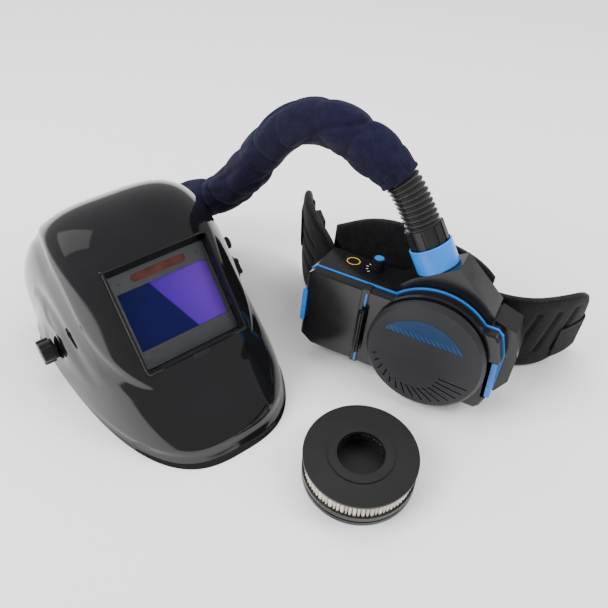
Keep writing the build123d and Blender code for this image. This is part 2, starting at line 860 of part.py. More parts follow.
def filter_pieces(plane):
    """The cartridge's four pieces, standing on its base in the given frame."""
    band_top = FILTER_H - FILTER_TOP_H
    with BuildPart() as base:
        with BuildSketch(plane):
            Circle(FILTER_R)
        extrude(amount=FILTER_BASE_H)
        with BuildSketch(plane.offset(5.4)):
            Circle(FILTER_R + 1)
            Circle(FILTER_R - 2.6, mode=Mode.SUBTRACT)
        extrude(amount=2.2, mode=Mode.SUBTRACT)
    with BuildPart() as media:
        with BuildSketch(plane.offset(FILTER_BASE_H)):
            Circle(FILTER_BAND_R)
            Circle(34, mode=Mode.SUBTRACT)
        extrude(amount=band_top - FILTER_BASE_H)
    with BuildPart() as grille:
        with BuildSketch(plane.offset(FILTER_BASE_H)):
            Circle(27.4)
            Circle(25.2, mode=Mode.SUBTRACT)
        extrude(amount=band_top - FILTER_BASE_H)
        for height in GRILLE_ROWS:
            with BuildSketch(plane.offset(FILTER_BASE_H + height)):
                Circle(28.4)
                Circle(24, mode=Mode.SUBTRACT)
                with PolarLocations(26.3, 5, start_angle=GRILLE_TURN):
                    Rectangle(7, 5, mode=Mode.SUBTRACT)
            extrude(amount=GRILLE_WINDOW, mode=Mode.SUBTRACT)
    with BuildPart() as top:
        with BuildSketch(plane.offset(band_top)):
            Circle(FILTER_R)
            Circle(FILTER_HOLE_R, mode=Mode.SUBTRACT)
        extrude(amount=FILTER_TOP_H - 1.4)
        with BuildSketch(plane.offset(band_top)):
            Circle(33.6)
            Circle(FILTER_HOLE_R, mode=Mode.SUBTRACT)
        extrude(amount=FILTER_TOP_H)
    return base.part, media.part, grille.part, top.part


def make_filters():
    base, media, grille, top = filter_pieces(Plane.XY)
    save(base, "spare_filter_base", SPARE)
    save(media, "spare_filter_media", SPARE)
    save(grille, "spare_filter_grille", SPARE)
    save(top, "spare_filter_top", SPARE)
    # the fitted cartridge stands in the filter chamber with its hole to the back
    fitted = Plane((0, SEAM_Y + 0.4, 0), x_dir=(1, 0, 0), z_dir=(0, 1, 0))
    base, media, grille, top = filter_pieces(fitted)
    save(Compound([base, top]), "main_filter_plates", BLOWER)
    save(media, "main_filter_media", BLOWER)
    with BuildPart() as prefilter:
        with BuildSketch(facing(DISC_FRONT + 2.8)):
            Circle(57.5)
        extrude(amount=-5)
    save(prefilter.part, "prefilter", BLOWER)


def make_fan():
    with BuildPart() as fan_scroll:
        with BuildSketch(facing(SCROLL_Y)):
            Circle(58)
            Circle(21, mode=Mode.SUBTRACT)
        extrude(amount=-1.4)
        with BuildSketch(facing(SCROLL_Y + 1)):
            Circle(47)
            Circle(45, mode=Mode.SUBTRACT)
        extrude(amount=-(CASE_BACK - WALL - SCROLL_Y - 2.0))
        with BuildSketch(facing(SCROLL_Y - 1)):
            with Locations((0, 52)):
                Rectangle(26, 26)
        extrude(amount=-14, mode=Mode.SUBTRACT)
        # three arms that hold the motor in the cartridge's hole
        with BuildSketch(facing(SCROLL_Y)):
            with PolarLocations(15, 3, start_angle=90):
                Rectangle(15, 3)
            Circle(9)
            Circle(3.2, mode=Mode.SUBTRACT)
        extrude(amount=-1.4)
    save(fan_scroll.part, "fan_scroll", BLOWER)

    with BuildPart() as fan_motor:
        with BuildSketch(facing(SCROLL_Y - 17)):
            Circle(MOTOR_R)
        extrude(amount=-17)
        with BuildSketch(facing(SCROLL_Y)):
            Circle(3.0)
            Circle(SHAFT_R + RUN_FIT, mode=Mode.SUBTRACT)
        extrude(amount=-1.8)
        with BuildSketch(facing(SCROLL_Y - 8)):
            Circle(SHAFT_R + RUN_FIT)
        extrude(amount=-9, mode=Mode.SUBTRACT)
    save(fan_motor.part, "fan_motor", BLOWER)

    with BuildPart() as impeller:
        with BuildSketch(facing(SCROLL_Y - 7)):
            Circle(SHAFT_R)
        extrude(amount=-14)
        with BuildSketch(facing(SCROLL_Y + 6.2)):
            Circle(IMPELLER_R)
        extrude(amount=-1.4)
        with BuildSketch(facing(SCROLL_Y + 2.2)):
            Circle(6)
            with PolarLocations(31, 24):
                Rectangle(18, 1.2, rotation=35)
        extrude(amount=-4.2)
    save(impeller.part, "impeller", BLOWER)

    with BuildPart() as circuit_board:
        with BuildSketch(facing(BATTERY_BACK + 7)):
            with Locations((-113, 0)):
                Rectangle(50, 62)
        extrude(amount=-1.6)
        with BuildSketch(facing(BATTERY_BACK + 8.6)):
            with Locations((-122, -12), (-108, -24), (-98, -12)):
                Rectangle(8, 8)
        extrude(amount=-2.2)
    save(circuit_board.part, "circuit_board", BLOWER)


def make_controls():
    with BuildPart() as control_label:
        with BuildSketch(Plane.XY.offset(CASE_TOP - 0.8)):
            with Locations((LABEL_X, LABEL_Y)):
                RectangleRounded(LABEL_W - 0.4, LABEL_D - 0.4, 1.8)
            with Locations((KNOB_SPOT_X, KNOB_SPOT_Y)):
                Circle(3.3, mode=Mode.SUBTRACT)
        extrude(amount=0.4)
    save(control_label.part, "control_label", BLOWER)

    with BuildPart() as speed_knob:
        with BuildSketch(Plane.XY.offset(CASE_TOP + 0.2)):
            Circle(6.6)
            with PolarLocations(6.6, 16):
                Circle(0.5)
        extrude(amount=14)
        with BuildSketch(Plane.XY.offset(CASE_TOP + 12.8)):
            Circle(5.6)
        extrude(amount=3, mode=Mode.SUBTRACT)
        with BuildSketch(Plane.XY.offset(CASE_TOP - 6)):
            Circle(3.2)
        extrude(amount=8)
    save(Pos(KNOB_SPOT_X, KNOB_SPOT_Y, 0) * speed_knob.part, "speed_knob", BLOWER)

    with BuildPart() as knob_cap:
        with BuildSketch(Plane.XY.offset(CASE_TOP + 12.8)):
            Circle(5.5)
        extrude(amount=2.2)
        chamfer(knob_cap.faces().sort_by(Axis.Z)[-1].edges(), 0.4)
    save(Pos(KNOB_SPOT_X, KNOB_SPOT_Y, 0) * knob_cap.part, "knob_cap", BLOWER)

    with BuildPart() as potentiometer:
        with BuildSketch(Plane.XY.offset(CASE_TOP - WALL - 12)):
            with Locations((KNOB_SPOT_X - 7.6, KNOB_SPOT_Y)):
                Rectangle(16, 14)
        extrude(amount=7.6)
    save(potentiometer.part, "potentiometer", BLOWER)

    with BuildPart() as casing_screws:
        with BuildSketch(facing(CASE_BACK - 0.9)):
            with Locations(*SCREW_SPOTS):
                Circle(1.9)
        extrude(amount=5.9)
        with BuildSketch(facing(CASE_BACK + 1.1)):
            with Locations(*SCREW_SPOTS):
                Circle(3.4)
                Rectangle(4.6, 0.9, mode=Mode.SUBTRACT)
        extrude(amount=1.0)
    save(casing_screws.part, "casing_screws", BLOWER)


CUFF_R = 20.6
CUFF_BASE = 18.4
CUFF_LENGTH = 29.0


def cuff(plane, length, bore):
    """A ribbed hose cuff with a plain bore."""
    with BuildPart() as body:
        with BuildSketch(plane):
            Circle(CUFF_R - 1)
            with PolarLocations(CUFF_R - 2.6, 12):
                Rectangle(5.2, 6)
            Circle(bore, mode=Mode.SUBTRACT)
        extrude(amount=length)
    return body.part


def make_collar():
    with BuildPart() as outlet_collar:
        with BuildSketch(COLLAR_TILT):
            Circle(COLLAR_R)
        extrude(amount=COLLAR_LENGTH)
        chamfer(outlet_collar.edges().filter_by(GeomType.CIRCLE), 0.8)
        with BuildSketch(COLLAR_TILT.offset(-1)):
            Circle(SPIGOT_R + 0.4)
        extrude(amount=COLLAR_LENGTH + 2, mode=Mode.SUBTRACT)
        with BuildSketch(COLLAR_TILT.offset(CUFF_BASE - 0.3)):
            Circle(CUFF_R + 0.8)
        extrude(amount=COLLAR_LENGTH, mode=Mode.SUBTRACT)
    save(outlet_collar.part, "outlet_collar", BLOWER)
    lower_cuff = cuff(COLLAR_TILT.offset(CUFF_BASE), CUFF_LENGTH, SPIGOT_BORE_R)
    save(lower_cuff, "blower_cuff", BLOWER)


# ---------------------------------------------------------------- hose

HOSE_AXIS = (
    BLOWER.from_local_coords(COLLAR_BASE + COLLAR_TILT.z_dir)
    - BLOWER.from_local_coords(COLLAR_BASE)
)
HOSE_START = BLOWER.from_local_coords(
    COLLAR_BASE + COLLAR_TILT.z_dir * (CUFF_BASE + CUFF_LENGTH)
)
INLET_TIP = HEADGEAR.from_local_coords(Vector(DUCT_X, DUCT_Y, DUCT_Z))
INLET_AXIS = HEADGEAR.x_dir
UPPER_CUFF_LENGTH = 20.0
HOSE_END = INLET_TIP + INLET_AXIS * (UPPER_CUFF_LENGTH + 0.2)

ROUTE = (
    HOSE_START,
    HOSE_START + HOSE_AXIS * 36,
    kit(79, -38, 237),
    kit(48, -15, 254),
    kit(13, 11, 257),
    kit(-19, 32, 238),
    kit(-44, 51, 204),
    kit(-66, 66, 162),
    kit(-90, 84, 121),
    kit(-120, 104, 89),
    kit(-153, 125, 70),
    kit(-184, 132, 60),
    HOSE_END + INLET_AXIS * 34,
    HOSE_END,
)
SLEEVE_FROM = 2
SLEEVE_TO = 10
FIT_SHARE = 0.45


def route_radii(points):
    """Each corner's radius: 0.45 of its shorter run over the tangent of half its turn."""
    radii = []
    for before, corner, after in zip(points, points[1:], points[2:]):
        turn = (corner - before).get_angle(after - corner)
        run = min((corner - before).length, (after - corner).length)
        radii.append(FIT_SHARE * run / math.tan(math.radians(turn / 2)))
    return radii


def swept_tube(points, radii, outer, bore):
    """A round tube along straight runs joined by tangent arcs."""
    with BuildLine() as path:
        FilletPolyline(*points, radius=radii)
    start = Plane(path.line @ 0, z_dir=path.line % 0)
    with BuildPart() as tube:
        with BuildSketch(start):
            Circle(outer)
            if bore:
                Circle(bore, mode=Mode.SUBTRACT)
        sweep(path=path.line)
    section = math.pi * (outer**2 - bore**2)
    length = path.wires()[0].length
    print(f"tube length {length:.1f}, volume share {tube.part.volume / (section * length):.4f}")
    return tube.part


def make_hose():
    radii = route_radii(ROUTE)
    print("hose radii", [round(radius) for radius in radii])
    print("hose runs", [round((b - a).length) for a, b in zip(ROUTE, ROUTE[1:])])
    save(swept_tube(ROUTE, radii, HOSE_R, 0), "breathing_hose", TABLE)
    first = (ROUTE[SLEEVE_FROM - 1] + ROUTE[SLEEVE_FROM]) / 2
    last = (ROUTE[SLEEVE_TO] + ROUTE[SLEEVE_TO + 1]) / 2
    sleeve_route = (first, *ROUTE[SLEEVE_FROM : SLEEVE_TO + 1], last)
    sleeve_radii = radii[SLEEVE_FROM - 1 : SLEEVE_TO]
    sleeve = swept_tube(sleeve_route, sleeve_radii, SLEEVE_R, SLEEVE_BORE_R)
    save(sleeve, "hose_sleeve", TABLE)
    inlet = Plane(INLET_TIP + INLET_AXIS * 0.1, z_dir=INLET_AXIS)
    save(cuff(inlet, UPPER_CUFF_LENGTH, SPIGOT_BORE_R), "helmet_cuff", TABLE)


# ---------------------------------------------------------------- belt

PAD_THICK = 11.0
PAD_FRONT = 84.0
WEB_W = 38.0
WEB_THICK = 1.8


def make_centre_pad():
    with BuildPart() as centre_pad:
        with BuildSketch(facing(PAD_FRONT)):
            with BuildLine() as edge:
                Polyline((-150, 66), (-150, -44), (-138, -54), (28, -54), (38, -46), (38, 66))
                Spline((38, 66), (10, 82), (-40, 91), (-85, 93), (-120, 83), (-136, 74), (-150, 66))
            make_face()
        extrude(amount=-PAD_THICK)
    save(centre_pad.part, "belt_centre_pad", BLOWER)

    with BuildPart() as belt_hooks:
        for x in (-118, 22):
            with BuildSketch(sideways(x - 14)):
                with Locations(((CASE_BACK + PAD_FRONT) / 2, -4)):
                    Rectangle(PAD_FRONT - CASE_BACK - 2.6, 46)
                    Rectangle(PAD_FRONT - CASE_BACK - 7.0, 40, mode=Mode.SUBTRACT)
            extrude(amount=28)
            with BuildSketch(sideways(x - 10)):
                with Locations((CASE_BACK + 0.65, 0), (PAD_FRONT - 0.65, 0)):
                    Rectangle(1.3, 20)
            extrude(amount=20)
    save(belt_hooks.part, "belt_hooks", BLOWER)


# Plan centre-lines of the two side pads, standing on the table
RIGHT_PLAN = (kit(211, -84, 0), kit(256, -93, 0), kit(315, -69, 0))
LEFT_PLAN = (kit(22, 3, 0), kit(5, 38, 0), kit(4, 84, 0))


def plan_strip(plan, thick, low, tall):
    """A strip of padding along an arc in plan, standing up from the height low."""
    with BuildPart() as strip:
        with BuildSketch(Plane.XY.offset(low)):
            with BuildLine() as centre:
                ThreePointArc(*[(point.X, point.Y) for point in plan])
            trace(centre.edges(), line_width=thick)
        extrude(amount=tall)
    return strip.part


def make_side_pads():
    right_end = RIGHT_PLAN[2] - RIGHT_PLAN[0]
    face = Plane(RIGHT_PLAN[0], x_dir=right_end.normalized(), z_dir=right_end.cross(Vector(0, 0, 1)))
    span = right_end.length + 6
    with BuildPart() as right_pad:
        add(plan_strip(RIGHT_PLAN, PAD_THICK, 0, 140))
        with BuildSketch(face):
            with BuildLine():
                Polyline((-3, 0.4), (52, 0.4))
                Spline((52, 0.4), (78, 6), (98, 19), (span, 40))
                Spline((span, 40), (span + 2, 72), (span - 10, 98), (span - 34, 108), (40, 108))
                Line((40, 108), (-3, 106))
                Line((-3, 106), (-3, 0.4))
            make_face()
        extrude(amount=80, both=True, mode=Mode.INTERSECT)
    save(right_pad.part, "belt_right_pad", TABLE)

    left_end = LEFT_PLAN[2] - LEFT_PLAN[0]
    face = Plane(LEFT_PLAN[0], x_dir=left_end.normalized(), z_dir=left_end.cross(Vector(0, 0, 1)))
    span = left_end.length + 6
    with BuildPart() as left_pad:
        add(plan_strip(LEFT_PLAN, PAD_THICK, 0, 150))
        with BuildSketch(face):
            with BuildLine():
                Polyline((-12, 0.4), (40, 0.4))
                Spline((40, 0.4), (66, 10), (span, 40))
                Spline((span, 40), (span + 2, 84), (span - 8, 118), (span - 30, 128), (-12, 104))
                Line((-12, 104), (-12, 0.4))
            make_face()
        extrude(amount=80, both=True, mode=Mode.INTERSECT)
    save(left_pad.part, "belt_left_pad", TABLE)


STRAP_GAP = PAD_THICK / 2 + 0.4 + WEB_THICK / 2
BUCKLE_L = 52.0
BUCKLE_H = 46.0
BUCKLE_T = 9.0
RIGHT_STRAP_LOW = 14.0
LEFT_STRAP_LOW = 52.0


def plan_arc(plan):
    with BuildLine() as centre:
        ThreePointArc(*[(point.X, point.Y) for point in plan])
    return centre.edges()[0]


def side_strap(plan, low, outer_span, inner_span, turn):
    """Webbing that runs along a pad's outer face, round its end and back along its inner face.
    turn is +1 where the plan runs anticlockwise about its centre. Spans are in millimetres."""
    arc = plan_arc(plan)
    centre = arc.arc_center
    end = arc.position_at(1) - centre
    end_angle = math.degrees(math.atan2(end.Y, end.X))
    outer_r = arc.radius + STRAP_GAP
    inner_r = arc.radius - STRAP_GAP
    beyond = turn * math.degrees(2.5 / arc.radius)
    outer_angle = turn * math.degrees(outer_span / arc.radius)
    inner_angle = turn * math.degrees(inner_span / arc.radius)
    heading = (arc % 1).normalized()
    tip = arc.position_at(1) + heading * (STRAP_GAP + 4)
    with BuildPart() as strap:
        with BuildSketch(Plane.XY.offset(low)):
            with BuildLine() as route:
                first = CenterArc(centre, outer_r, end_angle - outer_angle, outer_angle + beyond)
                last = CenterArc(centre, inner_r, end_angle + beyond, -inner_angle - beyond)
                ThreePointArc(first @ 1, tip, last @ 0)
            trace(route.edges(), line_width=WEB_THICK)
        extrude(amount=WEB_W + 8)
    # the buckle rests on the webbing's inner side, its middle half a buckle from the end
    half = BUCKLE_L / 2
    at_angle = end_angle + beyond - inner_angle - beyond + turn * math.degrees(half / inner_r)
    face_r = math.sqrt((inner_r - WEB_THICK / 2 - 0.2) ** 2 - half**2)
    outward = Vector(math.cos(math.radians(at_angle)), math.sin(math.radians(at_angle)), 0)
    middle = centre + outward * (face_r - BUCKLE_T / 2)
    middle = Vector(middle.X, middle.Y, low + (WEB_W + 8) / 2)
    along = outward.rotate(Axis.Z, -90 * turn)
    return strap.part, Plane(middle, x_dir=along, z_dir=outward)


def make_straps_and_buckles():
    strap, frame = side_strap(RIGHT_PLAN, RIGHT_STRAP_LOW, 34, 84, 1)
    save(strap, "belt_right_strap", TABLE)
    with BuildPart() as buckle_socket:
        Box(BUCKLE_L, BUCKLE_H, BUCKLE_T)
        fillet(buckle_socket.edges().filter_by(Axis.Z), 6)
        with Locations((8, 0, 0)):
            Box(BUCKLE_L, BUCKLE_H - 12, BUCKLE_T - 4, mode=Mode.SUBTRACT)
        with Locations((4, BUCKLE_H / 2, 0), (4, -BUCKLE_H / 2, 0)):
            Box(16, 9, BUCKLE_T - 4, mode=Mode.SUBTRACT)
    save(buckle_socket.part, "belt_buckle_socket", frame)

    strap, frame = side_strap(LEFT_PLAN, LEFT_STRAP_LOW, 30, 72, -1)
    save(strap, "belt_left_strap", TABLE)
    with BuildPart() as buckle_plug:
        with Locations((-14, 0, 0)):
            Box(24, BUCKLE_H, BUCKLE_T)
        with Locations((-16, 0, 0)):
            Box(8, BUCKLE_H - 10, BUCKLE_T + 1, mode=Mode.SUBTRACT)
        with Locations((14, 0, 0)):
            Box(32, 6, BUCKLE_T - 5)
        with Locations((10, 13, 0), (10, -13, 0)):
            Box(26, 5, BUCKLE_T - 5)
        with Locations((22, 15, 0), (22, -15, 0)):
            Box(8, 5, BUCKLE_T - 5)
    save(buckle_plug.part, "belt_buckle_plug", frame)


def main():
    os.makedirs("parts", exist_ok=True)
    make_helmet_shell()
    make_cover_lens()
    make_filter_cartridge()
    make_lens_retainer()
    make_pivots()
    make_face_seal()
    make_headgear()
    make_straps_and_duct()
    make_rear_casing()
    make_seam_trim()
    make_battery()
    make_filter_door()
    make_cover_disc()
    make_filters()
    make_fan()
    make_controls()
    make_collar()
    make_hose()
    make_centre_pad()
    make_side_pads()
    make_straps_and_buckles()
    still = [piece for name, piece in made.items() if name not in CORD_NODES]
    box = Compound(still).bounding_box()
    print(f"{len(made)} nodes, box without the hose {box.min} to {box.max}")


if __name__ == "__main__":
    main()
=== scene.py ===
import json
import math
import random

import bmesh
import bpy
import numpy as np
from mathutils import Matrix, Vector


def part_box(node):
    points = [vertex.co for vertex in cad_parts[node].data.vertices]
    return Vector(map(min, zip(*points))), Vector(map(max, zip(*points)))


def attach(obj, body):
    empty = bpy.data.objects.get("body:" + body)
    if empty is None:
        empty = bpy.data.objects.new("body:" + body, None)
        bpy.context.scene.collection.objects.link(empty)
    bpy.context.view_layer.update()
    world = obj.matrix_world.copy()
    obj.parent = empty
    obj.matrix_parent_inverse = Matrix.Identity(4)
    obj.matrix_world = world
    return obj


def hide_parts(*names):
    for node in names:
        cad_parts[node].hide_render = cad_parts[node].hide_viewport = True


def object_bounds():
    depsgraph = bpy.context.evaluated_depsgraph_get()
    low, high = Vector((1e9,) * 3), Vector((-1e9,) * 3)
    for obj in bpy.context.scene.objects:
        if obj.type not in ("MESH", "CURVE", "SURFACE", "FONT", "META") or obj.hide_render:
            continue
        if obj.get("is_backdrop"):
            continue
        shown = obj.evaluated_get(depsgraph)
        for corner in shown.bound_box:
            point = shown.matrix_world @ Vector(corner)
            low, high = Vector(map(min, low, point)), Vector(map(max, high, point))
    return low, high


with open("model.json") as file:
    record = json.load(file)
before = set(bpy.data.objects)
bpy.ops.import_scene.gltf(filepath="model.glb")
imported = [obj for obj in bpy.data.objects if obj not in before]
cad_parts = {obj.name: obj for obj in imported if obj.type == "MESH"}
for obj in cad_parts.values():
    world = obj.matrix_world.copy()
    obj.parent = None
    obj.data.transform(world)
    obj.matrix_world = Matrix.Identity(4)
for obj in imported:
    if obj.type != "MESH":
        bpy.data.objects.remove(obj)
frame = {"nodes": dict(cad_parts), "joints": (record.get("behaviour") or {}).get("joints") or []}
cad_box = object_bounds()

MM = 0.001
random.seed(7)
record_joints = {j["name"]: j for j in frame["joints"]}


def axis_of(name):
    return Vector(record_joints[name]["axis"]).normalized()


def place_of(name):
    return Vector(record_joints[name]["pos_m"])


# The layout was measured from a corner of the table; MIDDLE is the part's centre in that layout.
LAYOUT_PIVOT = Vector((-189.731, -45.539, 0))
pivot_now = place_of("visor_tilt") / MM
MIDDLE = LAYOUT_PIVOT - Vector((pivot_now.x, pivot_now.y, 0))


def from_layout(point):
    return (Vector(point) - MIDDLE) * MM


# ---------------------------------------------------------------- camera

CAMERA_PLACE = from_layout((-16.8, -588.6, 594.4))
CAMERA_RIGHT = Vector((1.0, 0.0, 0.028))
CAMERA_FORWARD = Vector((0.02, 0.703, -0.71))
CAMERA_LENS = 38.49


def make_camera():
    data = bpy.data.cameras.new("camera")
    data.sensor_width = 36.0
    data.lens = CAMERA_LENS
    camera = bpy.data.objects.new("camera", data)
    bpy.context.scene.collection.objects.link(camera)
    forward = CAMERA_FORWARD.normalized()
    right = (CAMERA_RIGHT - forward * CAMERA_RIGHT.dot(forward)).normalized()
    up = right.cross(forward)
    turn = Matrix((right, up, -forward)).transposed().to_4x4()
    camera.matrix_world = Matrix.Translation(CAMERA_PLACE) @ turn
    bpy.context.scene.camera = camera


make_camera()


# ---------------------------------------------------------------- frames of the assemblies

class Frame:
    """An assembly's own axes. Points in it are in millimetres."""

    def __init__(self, origin, x, y, z):
        self.origin, self.x, self.y, self.z = Vector(origin), x, y, z

    def at(self, x, y, z):
        return self.origin + (self.x * x + self.y * y + self.z * z) * MM

    def rows(self, points):
        axes = np.array([self.x, self.y, self.z])
        return np.array(self.origin) + (np.asarray(points, float) @ axes) * MM

    def matrix(self):
        turn = Matrix((self.x, self.y, self.z)).transposed().to_4x4()
        return Matrix.Translation(self.origin) @ turn


SCROLL_Y = 59.6
PIVOT_Y = 118.0
VISOR_TILT = 41.3

blower_x = axis_of("battery_latch_press")
blower_y = -axis_of("battery_slide")
BLOWER = Frame(place_of("fan_spin") - blower_y * SCROLL_Y * MM, blower_x, blower_y,
               blower_x.cross(blower_y))
visor_x = -axis_of("visor_tilt")
visor_z = Matrix.Rotation(-math.radians(VISOR_TILT), 3, visor_x) @ Vector((0, 0, 1))
visor_y = visor_z.cross(visor_x)
VISOR = Frame(place_of("visor_tilt") - visor_y * PIVOT_Y * MM, visor_x, visor_y, visor_z)
gear_y = -axis_of("headband_size")
HEADGEAR = Frame(place_of("visor_tilt"), visor_x, gear_y, visor_x.cross(gear_y))
WORLD = Frame((0, 0, 0), Vector((1, 0, 0)), Vector((0, 1, 0)), Vector((0, 0, 1)))
spare_low, spare_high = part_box("spare_filter_base")
SPARE = Frame(((spare_low.x + spare_high.x) / 2, (spare_low.y + spare_high.y) / 2, 0),
              WORLD.x, WORLD.y, WORLD.z)


# ---------------------------------------------------------------- mesh helpers

def mesh_object(name, points, faces, material, smooth=True):
    mesh = bpy.data.meshes.new(name)
    mesh.from_pydata([tuple(p) for p in points], [], [tuple(f) for f in faces])
    mesh.validate()
    mesh.polygons.foreach_set("use_smooth", [smooth] * len(mesh.polygons))
    mesh.materials.append(material)
    mesh.update()
    piece = bpy.data.objects.new(name, mesh)
    bpy.context.scene.collection.objects.link(piece)
    return piece


def outward_faces(piece):
    work = bmesh.new()
    work.from_mesh(piece.data)
    bmesh.ops.recalc_face_normals(work, faces=work.faces)
    work.to_mesh(piece.data)
    work.free()


def solid_mesh(*parts, **settings):
    piece = mesh_object(*parts, **settings)
    outward_faces(piece)
    return piece


def ring_faces(a, b, count):
    """Faces between two closed rings of count points, which start at a and b."""
    return [(a + c, a + (c + 1) % count, b + (c + 1) % count, b + c) for c in range(count)]


def grid_faces(rows, columns, wrap=False, start=0):
    faces = []
    for r in range(rows - 1):
        a = start + r * columns
        faces += ring_faces(a, a + columns, columns)[:None if wrap else columns - 1]
    return faces


def turned(faces):
    return [tuple(reversed(f)) for f in faces]


def two_skins(rows, columns):
    """Faces of an open sheet with an outer and an inner skin, closed round its edge."""
    count = rows * columns
    faces = turned(grid_faces(rows, columns)) + grid_faces(rows, columns, start=count)
    ring = list(range(columns))
    ring += [r * columns + columns - 1 for r in range(1, rows)]
    ring += [(rows - 1) * columns + c for c in range(columns - 2, -1, -1)]
    ring += [r * columns for r in range(rows - 2, 0, -1)]
    faces += [(a, b, count + b, count + a) for a, b in zip(ring, ring[1:] + ring[:1])]
    return faces


def two_walls(rows, count):
    """Faces of a ring with an outer and an inner wall, closed at its first and last row."""
    total = rows * count
    faces = grid_faces(rows, count, wrap=True) + turned(grid_faces(rows, count, True, total))
    for row in (0, rows - 1):
        faces += ring_faces(row * count, total + row * count, count)
    return faces


def tube(name, centres, normals, sides, radius, material):
    """A tube whose rings stand across the line; radius(ring, side) is in metres."""
    points = []
    for i, (centre, (u, v)) in enumerate(zip(centres, normals)):
        for s in range(sides):
            angle = 2 * math.pi * s / sides
            reach = radius(i, s)
            points.append(centre + (u * math.cos(angle) + v * math.sin(angle)) * reach)
    faces = grid_faces(len(centres), sides, wrap=True)
    faces.append(tuple(reversed(range(sides))))
    last = (len(centres) - 1) * sides
    faces.append(tuple(range(last, last + sides)))
    piece = solid_mesh(name, points, faces, material)
    return piece


def carried_frames(line):
    """Two directions across the line at each of its points, carried along without twist."""
    tangents = []
    for i in range(len(line)):
        ahead = line[min(i + 1, len(line) - 1)] - line[max(i - 1, 0)]
        tangents.append(ahead.normalized())
    across = tangents[0].orthogonal().normalized()
    frames = []
    for tangent in tangents:
        across = (across - tangent * across.dot(tangent)).normalized()
        frames.append((across, tangent.cross(across)))
    return frames


def even_line(points, count):
    """The line again as evenly spaced points."""
    array = np.array(points)
    steps = np.r_[0, np.cumsum(np.linalg.norm(np.diff(array, axis=0), axis=1))]
    wanted = np.linspace(0, steps[-1], count)
    even = np.stack([np.interp(wanted, steps, array[:, k]) for k in range(3)], axis=1)
    return [Vector(p) for p in even], steps[-1]


def ramp(value, low, high):
    """Smooth 0..1 as value goes from low to high."""
    t = np.clip((value - low) / (high - low), 0, 1)
    return t * t * (3 - 2 * t)


# ---------------------------------------------------------------- materials

class Look:
    """A material with its node tree, built up step by step."""

    def __init__(self, name, color, rough, metal=0.0, specular=0.5):
        self.material = bpy.data.materials.new(name)
        self.material.use_nodes = True
        self.tree = self.material.node_tree
        self.shader = self.tree.nodes["Principled BSDF"]
        self.rough = rough
        self.input("Base Color").default_value = (*color, 1.0)
        self.input("Roughness").default_value = rough
        self.input("Metallic").default_value = metal
        self.input("Specular IOR Level").default_value = specular
        self.height = None
        self.coords = self.node("ShaderNodeTexCoord")

    def node(self, kind, **settings):
        made = self.tree.nodes.new(kind)
        for key, value in settings.items():
            setattr(made, key, value)
        return made

    def link(self, a, b):
        self.tree.links.new(a, b)

    def input(self, name):
        return self.shader.inputs[name]

    def value(self, name, number):
        self.input(name).default_value = number
        return self

    def noise(self, scale, detail=3.0, stretch=(1, 1, 1)):
        mapping = self.node("ShaderNodeMapping")
        mapping.inputs["Scale"].default_value = stretch
        noise = self.node("ShaderNodeTexNoise")
        noise.inputs["Scale"].default_value = scale
        noise.inputs["Detail"].default_value = detail
        self.link(self.coords.outputs["Object"], mapping.inputs["Vector"])
        self.link(mapping.outputs["Vector"], noise.inputs["Vector"])
        return noise.outputs["Fac"]

    def map_range(self, source, low, high, to_low=0.0, to_high=1.0):
        mapped = self.node("ShaderNodeMapRange")
        mapped.inputs["From Min"].default_value = low
        mapped.inputs["From Max"].default_value = high
        mapped.inputs["To Min"].default_value = to_low
        mapped.inputs["To Max"].default_value = to_high
        self.link(source, mapped.inputs["Value"])
        return mapped.outputs["Result"]

    def span(self, source, low, high):
        """Maps a texture, which lies mostly in 0.3..0.7, to low..high."""
        return self.map_range(source, 0.3, 0.7, low, high)

    def scaled(self, source, share, added=None):
        """source times share, plus added where it is given."""
        made = self.node("ShaderNodeMath", operation="MULTIPLY_ADD" if added else "MULTIPLY")
        made.inputs[1].default_value = share
        self.link(source, made.inputs[0])
        if added:
            self.link(added, made.inputs[2])
        return made.outputs[0]

    def placed(self, assembly):
        """Coordinates along an assembly's own axes in metres: the vector, then X, Y and Z."""
        place = self.node("ShaderNodeMapping", vector_type="TEXTURE")
        turn = assembly.matrix()
        place.inputs["Location"].default_value = turn.to_translation()
        place.inputs["Rotation"].default_value = turn.to_euler()
        self.link(self.coords.outputs["Object"], place.inputs["Vector"])
        split = self.node("ShaderNodeSeparateXYZ")
        self.link(place.outputs["Vector"], split.inputs["Vector"])
        return place.outputs["Vector"], split.outputs

    def vary_rough(self, source, amount):
        self.link(self.span(source, self.rough - amount, self.rough + amount),
                  self.input("Roughness"))
        return self

    def mix(self, source, a, b):
        """a where source is 0 and b where it is 1. Each is a colour or a node's output."""
        blend = self.node("ShaderNodeMix", data_type="RGBA")
        for index, part in ((6, a), (7, b)):
            if isinstance(part, tuple):
                blend.inputs[index].default_value = (*part, 1)
            else:
                self.link(part, blend.inputs[index])
        self.link(source, blend.inputs[0])
        return blend.outputs[2]

    def vary_color(self, source, a, b):
        self.link(self.mix(self.span(source, 0, 1), a, b), self.input("Base Color"))
        return self

    def bump(self, source, strength, distance):
        bump = self.node("ShaderNodeBump")
        bump.inputs["Strength"].default_value = strength
        bump.inputs["Distance"].default_value = distance
        self.link(source, bump.inputs["Height"])
        if self.height is not None:
            self.link(self.height, bump.inputs["Normal"])
        self.height = bump.outputs["Normal"]
        self.link(self.height, self.input("Normal"))
        return self


